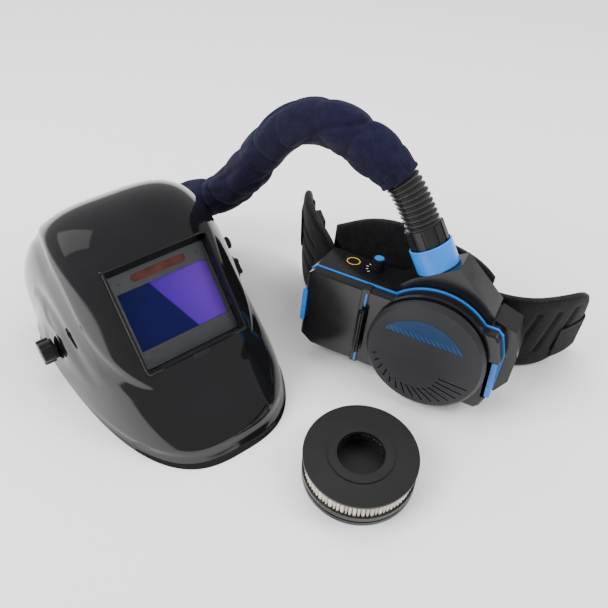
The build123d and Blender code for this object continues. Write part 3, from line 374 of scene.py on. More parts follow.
def plastic(name, color, rough, grain=900.0, bump=0.06, spread=0.04, specular=0.5):
    look = Look(name, color, rough, specular=specular)
    look.vary_rough(look.noise(38.0, 4.0), spread)
    darker = tuple(c * 0.82 for c in color)
    lighter = tuple(min(1.0, c * 1.18) for c in color)
    look.vary_color(look.noise(16.0, 3.0), darker, lighter)
    look.bump(look.noise(grain, 2.0), bump, 0.0002)
    return look


def weave(look, pitch, strength, distance):
    """Crossed threads at the given pitch in metres."""
    turns = 1.0 / pitch
    parts = []
    for direction in ("X", "Z"):
        wave = look.node("ShaderNodeTexWave", wave_type="BANDS", bands_direction=direction)
        wave.inputs["Scale"].default_value = turns / 20 * 6.2832 / 2
        wave.inputs["Distortion"].default_value = 0.6
        look.link(look.coords.outputs["Object"], wave.inputs["Vector"])
        parts.append(wave.outputs["Fac"])
    product = look.node("ShaderNodeMath", operation="MULTIPLY")
    look.link(parts[0], product.inputs[0])
    look.link(parts[1], product.inputs[1])
    look.bump(product.outputs[0], strength, distance)
    return product.outputs[0]


GLOSS_BLACK = plastic("gloss_black", (0.006, 0.006, 0.007), 0.085, 300.0, 0.012, 0.03, 0.6)
SHELL_BLACK = plastic("shell_black", (0.008, 0.008, 0.009), 0.2, 1400.0, 0.05, 0.05)
DISC_BLACK = plastic("disc_black", (0.02, 0.02, 0.023), 0.48, 1700.0, 0.16, 0.05, 0.4)
KNOB_BLACK = plastic("knob_black", (0.011, 0.011, 0.012), 0.42, 1500.0, 0.12, 0.06)
RUBBER = plastic("rubber", (0.012, 0.012, 0.012), 0.6, 1100.0, 0.15, 0.06, 0.35)
BLUE = plastic("azure_plastic", (0.018, 0.19, 0.66), 0.3, 1500.0, 0.08, 0.05)
FILTER_BLACK = plastic("filter_black", (0.012, 0.012, 0.012), 0.38, 1500.0, 0.14, 0.06)
HOSE = plastic("hose_black", (0.02, 0.02, 0.021), 0.2, 900.0, 0.05, 0.05)
INSIDE_BLACK = plastic("inside_black", (0.01, 0.01, 0.011), 0.5, 1200.0, 0.1, 0.06)
CIRCUIT = plastic("circuit_green", (0.01, 0.12, 0.05), 0.4, 800.0, 0.2, 0.08)
WHITE_INK = plastic("white_ink", (0.75, 0.75, 0.75), 0.45, 1500.0, 0.05, 0.05)
YELLOW_INK = plastic("yellow_ink", (0.78, 0.55, 0.02), 0.45, 1500.0, 0.05, 0.05)


def brushed(name, color, rough, stretch):
    look = Look(name, color, rough, metal=1.0)
    grain = look.noise(60.0, 4.0, stretch)
    look.vary_rough(grain, 0.12)
    look.vary_color(look.noise(9.0, 2.0), tuple(c * 0.82 for c in color), color)
    look.bump(grain, 0.06, 0.0003)
    return look


CARTRIDGE = brushed("cartridge_metal", (0.27, 0.275, 0.285), 0.42, (1, 1, 8))
STEEL = brushed("steel", (0.56, 0.56, 0.57), 0.3, (6, 1, 1))


def fabric(name, dark, light, rough, pitch, strength, sheen=0.03):
    look = Look(name, dark, rough, specular=0.25)
    look.vary_color(look.noise(120.0, 5.0), dark, light)
    look.vary_rough(look.noise(300.0, 3.0), 0.06)
    weave(look, pitch, strength, 0.0006)
    look.bump(look.noise(900.0, 4.0), 0.25, 0.0004)
    look.value("Sheen Weight", sheen)
    look.value("Sheen Roughness", 0.6)
    return look


SLEEVE = fabric("navy_cotton", (0.005, 0.0046, 0.018), (0.009, 0.0082, 0.029), 0.86, 0.0009, 0.3)
BELT = fabric("belt_fabric", (0.0045, 0.0045, 0.005), (0.009, 0.009, 0.01), 0.85, 0.0011, 0.35)
WEBBING = fabric("webbing", (0.008, 0.008, 0.009), (0.018, 0.018, 0.02), 0.7, 0.0016, 0.7)
SEAL = fabric("seal_cloth", (0.01, 0.01, 0.011), (0.02, 0.02, 0.021), 0.9, 0.0012, 0.3)
STITCH = fabric("stitching", (0.012, 0.012, 0.03), (0.03, 0.03, 0.06), 0.75, 0.0006, 0.3)


def paper_look():
    look = Look("filter_paper", (0.6, 0.54, 0.42), 0.82, specular=0.3)
    look.vary_color(look.noise(55.0, 5.0), (0.6, 0.54, 0.43), (0.86, 0.83, 0.76))
    look.bump(look.noise(1500.0, 4.0), 0.3, 0.0003)
    return look


PAPER = paper_look()


def lens_look():
    """Coated welding glass: dark navy at the lower left, with a painted reflection, a brighter
    purple, over the upper right.
    """
    look = Look("dark_lens", (0.0, 0.0, 0.05), 0.12, specular=0.18)
    _, axes = look.placed(VISOR)

    def line(z_share, low, high):
        slanted = look.scaled(axes["Z"], z_share, look.scaled(axes["X"], 1.0))
        return look.map_range(slanted, low, high)

    # painted reflection: a brighter purple towards the upper right, laid over the glass's own dark
    # navy
    painted_reflection = look.mix(line(0.25, -0.02, 0.05), (0.045, 0.0, 0.34), (0.15, 0.03, 0.5))
    glass_and_reflection = look.mix(line(0.5, -0.0006, 0.0012), (0.0005, 0.0, 0.07), painted_reflection)
    look.link(glass_and_reflection, look.input("Base Color"))
    look.bump(look.noise(500.0, 2.0), 0.01, 0.0001)
    return look


LENS = lens_look()


def solar_look():
    look = plastic("solar_cell", (0.11, 0.028, 0.018), 0.16, 700.0, 0.03, 0.05)
    look.vary_color(look.noise(70.0, 3.0, (1, 1, 1)), (0.075, 0.018, 0.012), (0.16, 0.045, 0.03))
    return look


SOLAR = solar_look()
SENSOR = plastic("sensor_glass", (0.10, 0.10, 0.105), 0.16, 700.0, 0.02, 0.04)


def clear_look():
    look = Look("clear_cover", (0.02, 0.024, 0.03), 0.08, specular=0.5)
    look.value("Alpha", 0.10)
    look.vary_rough(look.noise(24.0, 4.0), 0.012)
    look.bump(look.noise(12.0, 2.0), 0.01, 0.0004)
    return look


CLEAR = clear_look()


def decal_look():
    """A printed blue segment: a darker field with slanting hatch lines."""
    look = Look("decal_blue", (0.005, 0.05, 0.14), 0.35)
    place, axes = look.placed(BLOWER)
    wave = look.node("ShaderNodeTexWave", wave_type="BANDS", bands_direction="DIAGONAL")
    wave.inputs["Scale"].default_value = 110.0
    look.link(place, wave.inputs["Vector"])
    hatch = look.mix(look.map_range(wave.outputs["Fac"], 0.55, 0.7),
                     (0.0015, 0.022, 0.075), (0.004, 0.055, 0.17))
    upper = look.map_range(axes["Z"], 0.0256, 0.0262)
    look.link(look.mix(upper, hatch, (0.0015, 0.026, 0.085)), look.input("Base Color"))
    look.vary_rough(look.noise(200.0, 3.0), 0.05)
    look.bump(look.noise(1500.0, 2.0), 0.05, 0.0002)
    return look


DECAL = decal_look()

NODE_LOOKS = {
    GLOSS_BLACK: ["helmet_shell"],
    SHELL_BLACK: ["rear_casing", "battery_pack", "filter_door", "control_label"],
    DISC_BLACK: ["cover_disc"],
    KNOB_BLACK: ["left_tension_knob", "right_tension_knob", "shade_knob", "blower_cuff",
                 "helmet_cuff", "belt_hooks", "speed_knob", "belt_buckle_socket",
                 "belt_buckle_plug", "ratchet_knob", "ratchet_housing"],
    INSIDE_BLACK: ["shade_control_box", "lens_retainer", "headband_front", "headband_rear",
                 "pivot_brackets", "crown_straps", "air_duct", "fan_scroll", "impeller",
                 "potentiometer", "main_filter_plates"],
    RUBBER: ["pivot_washers"],
    BLUE: ["seam_trim", "outlet_collar", "battery_latch", "door_latch", "knob_cap"],
    DECAL: ["cover_decal"],
    CARTRIDGE: ["filter_cartridge"],
    SOLAR: ["solar_cell"],
    SENSOR: ["arc_sensors"],
    LENS: ["viewing_lens"],
    CLEAR: ["cover_lens"],
    FILTER_BLACK: ["spare_filter_base", "spare_filter_grille", "spare_filter_top"],
    PAPER: ["spare_filter_media", "main_filter_media", "prefilter"],
    STEEL: ["hinge_pin", "casing_screws", "battery_contacts", "fan_motor"],
    CIRCUIT: ["circuit_board"],
}
for look, names in NODE_LOOKS.items():
    for name in names:
        data = frame["nodes"][name].data
        data.materials.clear()
        data.materials.append(look.material)


# ---------------------------------------------------------------- hose and its sleeve

HOSE_R = 19.0 * MM
RIB_PITCH = 0.0056
STEPS_PER_RIB = 8
HOSE_LAYOUT = (
    (79, -38, 237), (48, -15, 254), (13, 11, 257), (-19, 32, 238), (-44, 51, 204),
    (-66, 66, 162), (-90, 84, 121), (-120, 104, 89), (-153, 125, 70), (-184, 132, 60),
)
COLLAR_BASE = (-17.3, 47.0, 81.8)
CUFF_TOP = 18.4 + 29.0
HOSE_AXIS = axis_of("collar_twist")
HOSE_START = BLOWER.at(*COLLAR_BASE) + HOSE_AXIS * CUFF_TOP * MM
INLET_TIP = HEADGEAR.at(24, 150, 36)
HOSE_END = INLET_TIP + HEADGEAR.x * 20.2 * MM


def hose_route():
    middle = [from_layout(p) for p in HOSE_LAYOUT]
    return [HOSE_START, HOSE_START + HOSE_AXIS * 36 * MM, *middle,
            HOSE_END + HEADGEAR.x * 34 * MM, HOSE_END]


def spline_line(route):
    """The route's own NURBS spline, read back as points."""
    curve = bpy.data.curves.new("route", "CURVE")
    curve.dimensions = "3D"
    curve.resolution_u = 64
    spline = curve.splines.new("NURBS")
    spline.points.add(len(route) - 1)
    for point, place in zip(spline.points, route):
        point.co = (*place, 1)
    spline.order_u = 3
    spline.use_endpoint_u = True
    carrier = bpy.data.objects.new("route", curve)
    bpy.context.scene.collection.objects.link(carrier)
    shape = bpy.data.meshes.new_from_object(carrier)
    line = [v.co.copy() for v in shape.vertices]
    bpy.data.objects.remove(carrier)
    bpy.data.meshes.remove(shape)
    return line


def make_hose():
    rough_line = spline_line(hose_route())
    length = even_line(rough_line, 50)[1]
    ribs = round(length / RIB_PITCH)
    line, length = even_line(rough_line, ribs * STEPS_PER_RIB + 1)
    frames = carried_frames(line)

    def radius(ring, side):
        phase = (ring % STEPS_PER_RIB) / STEPS_PER_RIB
        crown = 0.5 + 0.5 * math.cos(2 * math.pi * phase)
        return HOSE_R * (0.865 + 0.135 * crown**0.75)

    hose = tube("hose_corrugated", line, frames, 40, radius, HOSE.material)
    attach(hose, "root")
    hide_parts("breathing_hose")
    return hose, line, length


SLEEVE_START = 0.0545
SLEEVE_TAIL = 0.080
SLEEVE_FULL_R = 0.0252
SLEEVE_LEAST_R = 0.0206
SLEEVE_MOST_R = 0.0292
SLEEVE_NECK_R = 0.0203
SLEEVE_LINING_R = 0.01945
SLEEVE_SIDES = 120
STITCHES_ROUND = 56


def sleeve_radius(run, rings):
    """The cloth's reach from the hose's line, as radius(ring, side) in metres: folds across it,
    slanting wrinkles, and a gathered neck at each end."""
    rng = random.Random(21)
    creases = []
    at = 0.022
    while at < run - 0.03:
        creases.append((at, rng.uniform(0, 2 * math.pi), rng.uniform(0.9, 1.9),
                        rng.uniform(0.0042, 0.0064), rng.uniform(-0.012, 0.012)))
        at += rng.uniform(0.030, 0.050)
    ripples = [(rng.uniform(0, 2 * math.pi), rng.choice((2, 3, 3, 4, 5)),
                rng.uniform(25, 70), rng.uniform(0.0003, 0.0008)) for _ in range(7)]
    wrinkles = [(rng.uniform(0, run), rng.uniform(0, 2 * math.pi), rng.uniform(0.018, 0.045),
              rng.uniform(-34, 34), rng.uniform(-0.0026, -0.0012)) for _ in range(34)]

    def radius(ring, side):
        s = run * ring / (rings - 1)
        a = 2 * math.pi * side / SLEEVE_SIDES
        full = SLEEVE_FULL_R
        for at, facing, sharp, depth, slant in creases:
            here = at + slant * math.sin(a - facing)
            share = 0.5 + 0.5 * math.cos(a - facing)
            fold = math.exp(-abs(s - here) / (0.0042 * sharp))
            full -= depth * fold * (0.25 + 0.75 * share**1.5)
        for at, facing, reach, twist, height in wrinkles:
            along = (s - at) / reach
            if abs(along) < 1.6:
                off = math.remainder(a - facing - twist * (s - at), 2 * math.pi)
                full += height * math.exp(-(along**2) * 1.6) * math.exp(-((off / 0.17) ** 2))
        for phase, turns, rate, height in ripples:
            full += height * math.sin(turns * a + rate * s + phase)
        full = max(full, SLEEVE_LEAST_R)
        end = min(s, run - s)
        gather = 1 - math.exp(-((end / 0.017) ** 2))
        pleat = 0.0007 * math.sin(26 * a + 3 * math.sin(5 * a)) * math.exp(-end / 0.014)
        neck = SLEEVE_NECK_R + 0.0012 * math.exp(-(((end - 0.002) / 0.0016) ** 2))
        return min(neck + (full - neck) * gather, SLEEVE_MOST_R) + pleat

    return radius


def sleeve_cloth(kept, frames, radius):
    sides = SLEEVE_SIDES
    points, faces = [], []
    rings = len(kept)
    for i, (centre, (u, v)) in enumerate(zip(kept, frames)):
        for s in range(sides):
            angle = 2 * math.pi * s / sides
            points.append(centre + (u * math.cos(angle) + v * math.sin(angle)) * radius(i, s))
    inner = len(points)
    steps = list(range(0, rings, 26))
    if steps[-1] != rings - 1:
        steps.append(rings - 1)
    for i in steps:
        centre, (u, v) = kept[i], frames[i]
        for s in range(sides):
            angle = 2 * math.pi * s / sides
            points.append(centre + (u * math.cos(angle) + v * math.sin(angle)) * SLEEVE_LINING_R)
    faces = grid_faces(rings, sides, wrap=True)
    faces += turned(grid_faces(len(steps), sides, True, inner))
    faces += ring_faces(inner, 0, sides)
    faces += ring_faces((rings - 1) * sides, inner + (len(steps) - 1) * sides, sides)
    sleeve = solid_mesh("hose_sleeve_cloth", points, faces, SLEEVE.material)
    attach(sleeve, "root")
    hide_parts("hose_sleeve")
    return sleeve


def sleeve_stitching(kept, frames, radius):
    """A row of small raised stitches round each end of the sleeve."""
    sides, rings = SLEEVE_SIDES, len(kept)
    stitches = []
    for centre_ring in (14, rings - 15):
        centre, (u, v) = kept[centre_ring], frames[centre_ring]
        heading = u.cross(v)
        for k in range(STITCHES_ROUND):
            a = 2 * math.pi * k / STITCHES_ROUND
            side = int(a / (2 * math.pi) * sides) % sides
            reach = radius(centre_ring, side) + 0.0002
            out = u * math.cos(a) + v * math.sin(a)
            along = heading.cross(out).normalized()
            stitches.append((centre + out * reach, along, out, heading))
    points, faces = [], []
    for centre, along, out, heading in stitches:
        base = len(points)
        for dx, dz, lift in ((-0.0009, -0.00022, 0), (0.0009, -0.00022, 0), (0.0009, 0.00022, 0),
                             (-0.0009, 0.00022, 0), (-0.0006, 0, 0.0003), (0.0006, 0, 0.0003)):
            points.append(centre + along * dx + heading * dz + out * lift)
        faces += [(base, base + 1, base + 5, base + 4), (base + 2, base + 3, base + 4, base + 5),
                  (base + 3, base, base + 4), (base + 1, base + 2, base + 5),
                  (base, base + 3, base + 2, base + 1)]
    seam = mesh_object("sleeve_stitches", points, faces, STITCH.material)
    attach(seam, "root")
    return seam


def make_sleeve(line, length):
    """Cotton sleeve in bulges between folds, gathered and stitched at both ends."""
    sleeve_start, sleeve_end = SLEEVE_START, length - SLEEVE_TAIL
    even, total = even_line(line, 700)
    kept = [p for i, p in enumerate(even)
            if sleeve_start <= total * i / (len(even) - 1) <= sleeve_end]
    kept, run = even_line(kept, 520)
    frames = carried_frames(kept)
    radius = sleeve_radius(run, len(kept))
    return sleeve_cloth(kept, frames, radius), sleeve_stitching(kept, frames, radius)


hose, hose_line, hose_length = make_hose()
sleeve, sleeve_seam = make_sleeve(hose_line, hose_length)
[tuple(p) for p in hose_line]


# ---------------------------------------------------------------- helmet shell

EAR = np.array((0.0, 207.0, 31.0))
FACE_LINE = np.array((
    (-20, -169), (-25, -132), (-23, -98), (-18, -58), (-15, 0), (-14, 58),
    (-5, 86), (14, 109), (45, 127), (92, 135), (150, 130)), float)
JAW_HALF = 117.0
CROWN_HALF = 107.0
SHELL_WALL = 2.8
EAR_TRIM = 84.0


def natural_spline(points, count):
    """A smooth curve through the points, as evenly spaced samples."""
    t = np.r_[0, np.cumsum(np.linalg.norm(np.diff(points, axis=0), axis=1))]
    n = len(points)
    h = np.diff(t)
    system = np.zeros((n, n))
    right = np.zeros((n, 2))
    system[0, :3] = (h[1], -(h[0] + h[1]), h[0])
    system[-1, -3:] = (h[-1], -(h[-2] + h[-1]), h[-2])
    for i in range(1, n - 1):
        system[i, i - 1:i + 2] = (h[i - 1], 2 * (h[i - 1] + h[i]), h[i])
        right[i] = 6 * ((points[i + 1] - points[i]) / h[i] - (points[i] - points[i - 1]) / h[i - 1])
    bend = np.linalg.solve(system, right)
    fine = np.linspace(0, t[-1], 2400)
    k = np.clip(np.searchsorted(t, fine) - 1, 0, n - 2)
    a, b = (t[k + 1] - fine)[:, None], (fine - t[k])[:, None]
    step = h[k][:, None]
    curve = (bend[k] * a**3 + bend[k + 1] * b**3) / (6 * step)
    curve += (points[k] / step - bend[k] * step / 6) * a
    curve += (points[k + 1] / step - bend[k + 1] * step / 6) * b
    run = np.r_[0, np.cumsum(np.linalg.norm(np.diff(curve, axis=0), axis=1))]
    wanted = np.linspace(0, run[-1], count)
    return np.stack([np.interp(wanted, run, curve[:, c]) for c in (0, 1)], axis=1)


PROFILE = natural_spline(FACE_LINE, 2001)


def shell_points(up, across, inset):
    """Points of the shell in the visor's frame. up is 0..1 and across is in degrees."""
    up, across = np.broadcast_arrays(np.asarray(up, float), np.asarray(across, float))
    low = up * 2000
    k = np.clip(low.astype(int), 0, 1999)
    part = (low - k)[..., None]
    line = PROFILE[k] * (1 - part) + PROFILE[k + 1] * part
    reach = np.stack([np.zeros_like(up), line[..., 0] - EAR[1], line[..., 1] - EAR[2]], axis=-1)
    length = np.linalg.norm(reach, axis=-1, keepdims=True)
    half = JAW_HALF + (CROWN_HALF - JAW_HALF) * np.minimum(1, up * 1.6) - inset
    square = 2.9 + 0.6 * up
    angle = np.radians(across)
    side = np.abs(np.sin(angle))
    front = np.maximum(np.cos(angle), 0)
    radius = (side**square + front**square) ** (-1 / square)
    out = EAR + reach / length * ((length[..., 0] - inset) * radius * front)[..., None]
    out[..., 0] += np.sign(angle) * half * radius * side
    return out


def normals_of(points):
    """Outward normals of a grid of shell points: its middle faces forward, towards -y."""
    du = np.gradient(points, axis=0)
    dv = np.gradient(points, axis=1)
    normal = np.cross(dv, du)
    normal /= np.maximum(np.linalg.norm(normal, axis=-1, keepdims=True), 1e-9)
    middle = normal[normal.shape[0] // 2, normal.shape[1] // 2]
    return -normal if middle[1] > 0 else normal


PANEL_ACROSS = 46.5
PANEL_TOP = 0.62
PANEL_DROP = 0.416
PANEL_POWER = 3.3
SHADE_Y, SHADE_Z = 85.0, 33.0


def panel_field(up, side):
    """Negative on the raised face panel and positive outside it; zero is its edge."""
    width = PANEL_ACROSS - np.clip(up - PANEL_TOP, 0, 1) * 34
    drop = np.clip((PANEL_TOP - up) / PANEL_DROP, 0, 1.4)
    return (side / width) ** PANEL_POWER + drop**PANEL_POWER - 1


def shell_relief(up, across, points):
    """Height of the pressed relief over the plain shell, in millimetres."""
    side = np.abs(across)
    field = panel_field(up, side)
    height = 2.4 * ramp(-field, -0.13, 0.13)
    # a soft hollow outside the crease, which makes it read as a fold
    gap = field * 14.0
    height -= 1.1 * np.exp(-(((gap - 4.5) / 3.6) ** 2)) * ramp(up, 0.2, 0.3)
    # chin lip, turned in along the lower edge
    height -= 2.2 * ramp(0.052 - up, 0.0, 0.022) * ramp(64 - side, 0, 26)
    # ear flange: a leaf-shaped fold in front of it, and a step where it begins
    fold = 51.5 + (up - 0.225) * 24
    along = np.clip((up - 0.2) / 0.48, 0, 1)
    leaf = np.sin(math.pi * along) ** 0.7 * (up > 0.2) * (up < 0.68)
    off = (side - fold) / 3.4
    height -= 2.6 * leaf * np.exp(-(off**2) * 1.2)
    flange = ramp(side - fold, 0.0, 6.0) * ramp(0.70 - up, 0.0, 0.018) * ramp(up, 0.14, 0.3)
    clear = np.hypot(points[..., 1] - PIVOT_Y, points[..., 2])
    shade = np.hypot(points[..., 1] - SHADE_Y, points[..., 2] - SHADE_Z)
    height += 2.0 * flange * ramp(clear, 18, 34) * ramp(shade, 12, 22)
    keep = ramp(clear, 15, 24) * np.where(points[..., 0] > 0, ramp(shade, 9, 16), 1)
    return height * keep * np.where((points[..., 0] < 0) & (side > 45), 0.75, 1)


BAY_W, BAY_LOW, BAY_HIGH, BAY_WALL = 111.0, -51.0, 56.5, 2.6
BAY_FRONT, BAY_BACK = -16.5, 12.0


def make_shell():
    rows, columns = 190, 281
    up = np.linspace(0, 1, rows)[:, None]
    across = np.linspace(-EAR_TRIM, EAR_TRIM, columns)[None, :]
    base = shell_points(up, across, 0.0)
    normal = normals_of(base)
    grid_up, grid_across = np.broadcast_arrays(up, across)
    height = shell_relief(grid_up, grid_across, base)
    rim_fade = ramp(grid_up, 0.0, 0.012)
    outer = base + normal * (height * rim_fade)[..., None]
    inner = base - normal * SHELL_WALL
    inner += normal * (height * rim_fade * 0.8)[..., None]
    floor_gap = 0.15

    def seated(points):
        world = VISOR.rows(points.reshape(-1, 3))
        world[:, 2] = np.maximum(world[:, 2], floor_gap * MM)
        return world

    outer_world, inner_world = seated(outer), seated(inner)
    shell = solid_mesh("helmet_shell_moulding", np.vstack([outer_world, inner_world]),
                        two_skins(rows, columns), GLOSS_BLACK.material)
    return shell


def box_mesh(name, frame_of, low, high, material):
    corners = [frame_of.at(x, y, z) for z in (low[2], high[2]) for y in (low[1], high[1])
               for x in (low[0], high[0])]
    faces = [(0, 2, 3, 1), (4, 5, 7, 6), (0, 1, 5, 4), (2, 6, 7, 3), (0, 4, 6, 2), (1, 3, 7, 5)]
    piece = solid_mesh(name, corners, faces, material, smooth=False)
    return piece


def cylinder_mesh(name, centre, axis, radius, reach, material):
    across = axis.orthogonal().normalized()
    other = axis.cross(across)
    points = []
    for end in (-reach, reach):
        for k in range(48):
            a = 2 * math.pi * k / 48
            points.append(centre + (across * math.cos(a) + other * math.sin(a)) * radius
                          + axis * end)
    faces = grid_faces(2, 48, wrap=True)
    faces += [tuple(range(48)), tuple(range(48, 96))]
    piece = solid_mesh(name, points, faces, material)
    return piece


def cut(piece, cutter, operation="DIFFERENCE"):
    modifier = piece.modifiers.new("cut", "BOOLEAN")
    modifier.operation = operation
    modifier.solver = "EXACT"
    modifier.object = cutter
    depsgraph = bpy.context.evaluated_depsgraph_get()
    result = bpy.data.meshes.new_from_object(piece.evaluated_get(depsgraph))
    piece.modifiers.clear()
    piece.data = result
    bpy.data.objects.remove(cutter)


def rounded_rectangle(half_x, low, high, radius, per_corner=8):
    points = []
    for sx, sz, start in ((1, 1, 0), (-1, 1, 90), (-1, -1, 180), (1, -1, 270)):
        cx = sx * (half_x - radius)
        cz = (high - radius) if sz > 0 else (low + radius)
        for k in range(per_corner):
            a = math.radians(start + 90 * k / (per_corner - 1))
            points.append((cx + radius * math.cos(a), cz + radius * math.sin(a)))
    return points


def make_bay():
    """The window bay's four walls, with a rounded lip that catches the light."""
    sections = (
        # (outline grow, corner radius, depth)
        (BAY_WALL, 4.0, BAY_BACK), (BAY_WALL, 4.0, BAY_FRONT + 0.9),
        (BAY_WALL - 0.25, 3.8, BAY_FRONT + 0.3), (BAY_WALL - 0.9, 3.2, BAY_FRONT),
        (0.9, 2.2, BAY_FRONT), (0.25, 1.7, BAY_FRONT + 0.3), (0.0, 1.5, BAY_FRONT + 0.9),
        (0.0, 1.5, BAY_BACK),
    )
    points = []
    count = 0
    for grow, radius, depth in sections:
        outline = rounded_rectangle(BAY_W / 2 + grow, BAY_LOW - grow, BAY_HIGH + grow, radius)
        count = len(outline)
        points += [VISOR.at(x, depth, z) for x, z in outline]
    rings = len(sections)
    faces = []
    for r in range(rings):
        faces += ring_faces(r * count, ((r + 1) % rings) * count, count)
    bay = solid_mesh("window_bay_frame", points, faces, GLOSS_BLACK.material)
    return bay


def make_helmet():
    shell = make_shell()
    cutter = box_mesh("cutter", VISOR, (-BAY_W / 2 - BAY_WALL + 0.4, -45, BAY_LOW - BAY_WALL + 0.4),
                      (BAY_W / 2 + BAY_WALL - 0.4, 40, BAY_HIGH + BAY_WALL - 0.4),
                      GLOSS_BLACK.material)
    cut(shell, cutter)
    for x in (-110, 110):
        cut(shell, cylinder_mesh("cutter", VISOR.at(x, PIVOT_Y, 0), VISOR.x, 4.4 * MM, 0.03,
                                 GLOSS_BLACK.material))
    cut(shell, cylinder_mesh("cutter", VISOR.at(105, SHADE_Y, SHADE_Z), VISOR.x, 3.5 * MM, 0.03,
                             GLOSS_BLACK.material))
    shell.data.materials.clear()
    shell.data.materials.append(GLOSS_BLACK.material)
    shell.data.polygons.foreach_set("use_smooth", [True] * len(shell.data.polygons))
    shell.data.set_sharp_from_angle(angle=math.radians(38))
    bay = make_bay()
    bay.data.set_sharp_from_angle(angle=math.radians(50))
    for piece in (shell, bay):
        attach(piece, "visor")
    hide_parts("helmet_shell")


make_helmet()


def make_thumb_notch():
    """The half-round thumb catch that hangs from the lower lip of the window bay."""
    points, faces = [], []
    steps = 24
    lip = BAY_LOW - BAY_WALL + 0.6
    for depth in (-20.4, -15.5):
        for k in range(steps + 1):
            a = math.pi * k / steps
            points.append(VISOR.at(9.5 * math.cos(a), depth, lip - 8.5 * math.sin(a)))
    n = steps + 1
    faces += grid_faces(2, n)
    faces += [tuple(range(n)), tuple(reversed(range(n, 2 * n))), (0, n, 2 * n - 1, n - 1)]
    notch = solid_mesh("thumb_catch", points, faces, KNOB_BLACK.material)
    bevel = notch.modifiers.new("bevel", "BEVEL")
    bevel.width = 0.0006
    bevel.segments = 3
    notch.data.set_sharp_from_angle(angle=math.radians(40))
    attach(notch, "visor")


make_thumb_notch()


def make_face_seal():
    """Cloth seal inside the jaw: a curtain with soft folds, hemmed along its free edge."""
    rows, columns = 34, 240
    up = np.linspace(0.021, 0.198, rows)[:, None]
    across = np.linspace(-77.5, 77.5, columns)[None, :]
    folds = 0.55 * np.sin(across * 0.52 + 3 * np.sin(up * 22)) * ramp(up, 0.03, 0.16)
    hem = 0.5 * np.exp(-(((up - 0.192) / 0.004) ** 2)) + 0 * across
    outer = shell_points(up, across, 16.15)
    normal = normals_of(outer)
    front = outer + normal * (folds * 0.3)[..., None]
    back = outer - normal * (1.5 + hem - folds * 0.3)[..., None]
    points = np.vstack([VISOR.rows(front.reshape(-1, 3)), VISOR.rows(back.reshape(-1, 3))])
    points[:, 2] = np.maximum(points[:, 2], 0.0003)
    seal = solid_mesh("face_seal_cloth", points, two_skins(rows, columns), SEAL.material)
    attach(seal, "visor")
    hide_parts("face_seal")


make_face_seal()


# ---------------------------------------------------------------- headgear padding

def make_sweatband():
    """A padded brow band with sewn channels, following the inside of the headband."""
    middle_y, half_x, half_y = 34.0, 77.6, 95.6
    last = math.acos(-(-20 - middle_y) / half_y)
    stations = 140
    profile = 28
    points = []
    for i in range(stations):
        t = -last + 2 * last * i / (stations - 1)
        end = min(i, stations - 1 - i) / 9
        swell = 0.55 + 0.45 * math.sqrt(min(1.0, end)) - 0.16 * abs(math.sin(i * math.pi / 14)) ** 12
        swell -= 0.12 * math.cos(i * math.pi / 7) ** 16
        x0, y0 = half_x * math.sin(t), middle_y - half_y * math.cos(t)
        nx, ny = math.sin(t) / half_x, -math.cos(t) / half_y
        size = math.hypot(nx, ny)
        nx, ny = nx / size, ny / size
        for k in range(profile):
            a = 2 * math.pi * k / profile
            depth = 2.5 * swell * math.copysign(abs(math.cos(a)) ** 0.6, math.cos(a))
            tall = 13.9 * math.copysign(abs(math.sin(a)) ** 0.7, math.sin(a))
            points.append(HEADGEAR.at(x0 - nx * (2.5 - depth), y0 - ny * (2.5 - depth), 2 + tall))
    faces = grid_faces(stations, profile, wrap=True)
    faces += [tuple(reversed(range(profile)))]
    faces += [tuple(range((stations - 1) * profile, stations * profile))]
    band = solid_mesh("sweatband_padding", points, faces, BELT.material)
    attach(band, "root")
    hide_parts("sweatband")


make_sweatband()


# ---------------------------------------------------------------- belt

def smooth_outline(knots, count):
    """A closed outline through straight and curved stretches, evenly spaced."""
    line = []
    for stretch in knots:
        if len(stretch) == 2:
            a, b = np.array(stretch, float)
            line += [tuple(a + (b - a) * k / 12) for k in range(12)]
        else:
            curve = natural_spline(np.array(stretch, float), 60)
            line += [tuple(p) for p in curve[:-1]]
    array = np.array(line + line[:1])
    steps = np.r_[0, np.cumsum(np.linalg.norm(np.diff(array, axis=0), axis=1))]
    wanted = np.linspace(0, steps[-1], count + 1)[:-1]
    return np.stack([np.interp(wanted, steps, array[:, k]) for k in (0, 1)], axis=1)


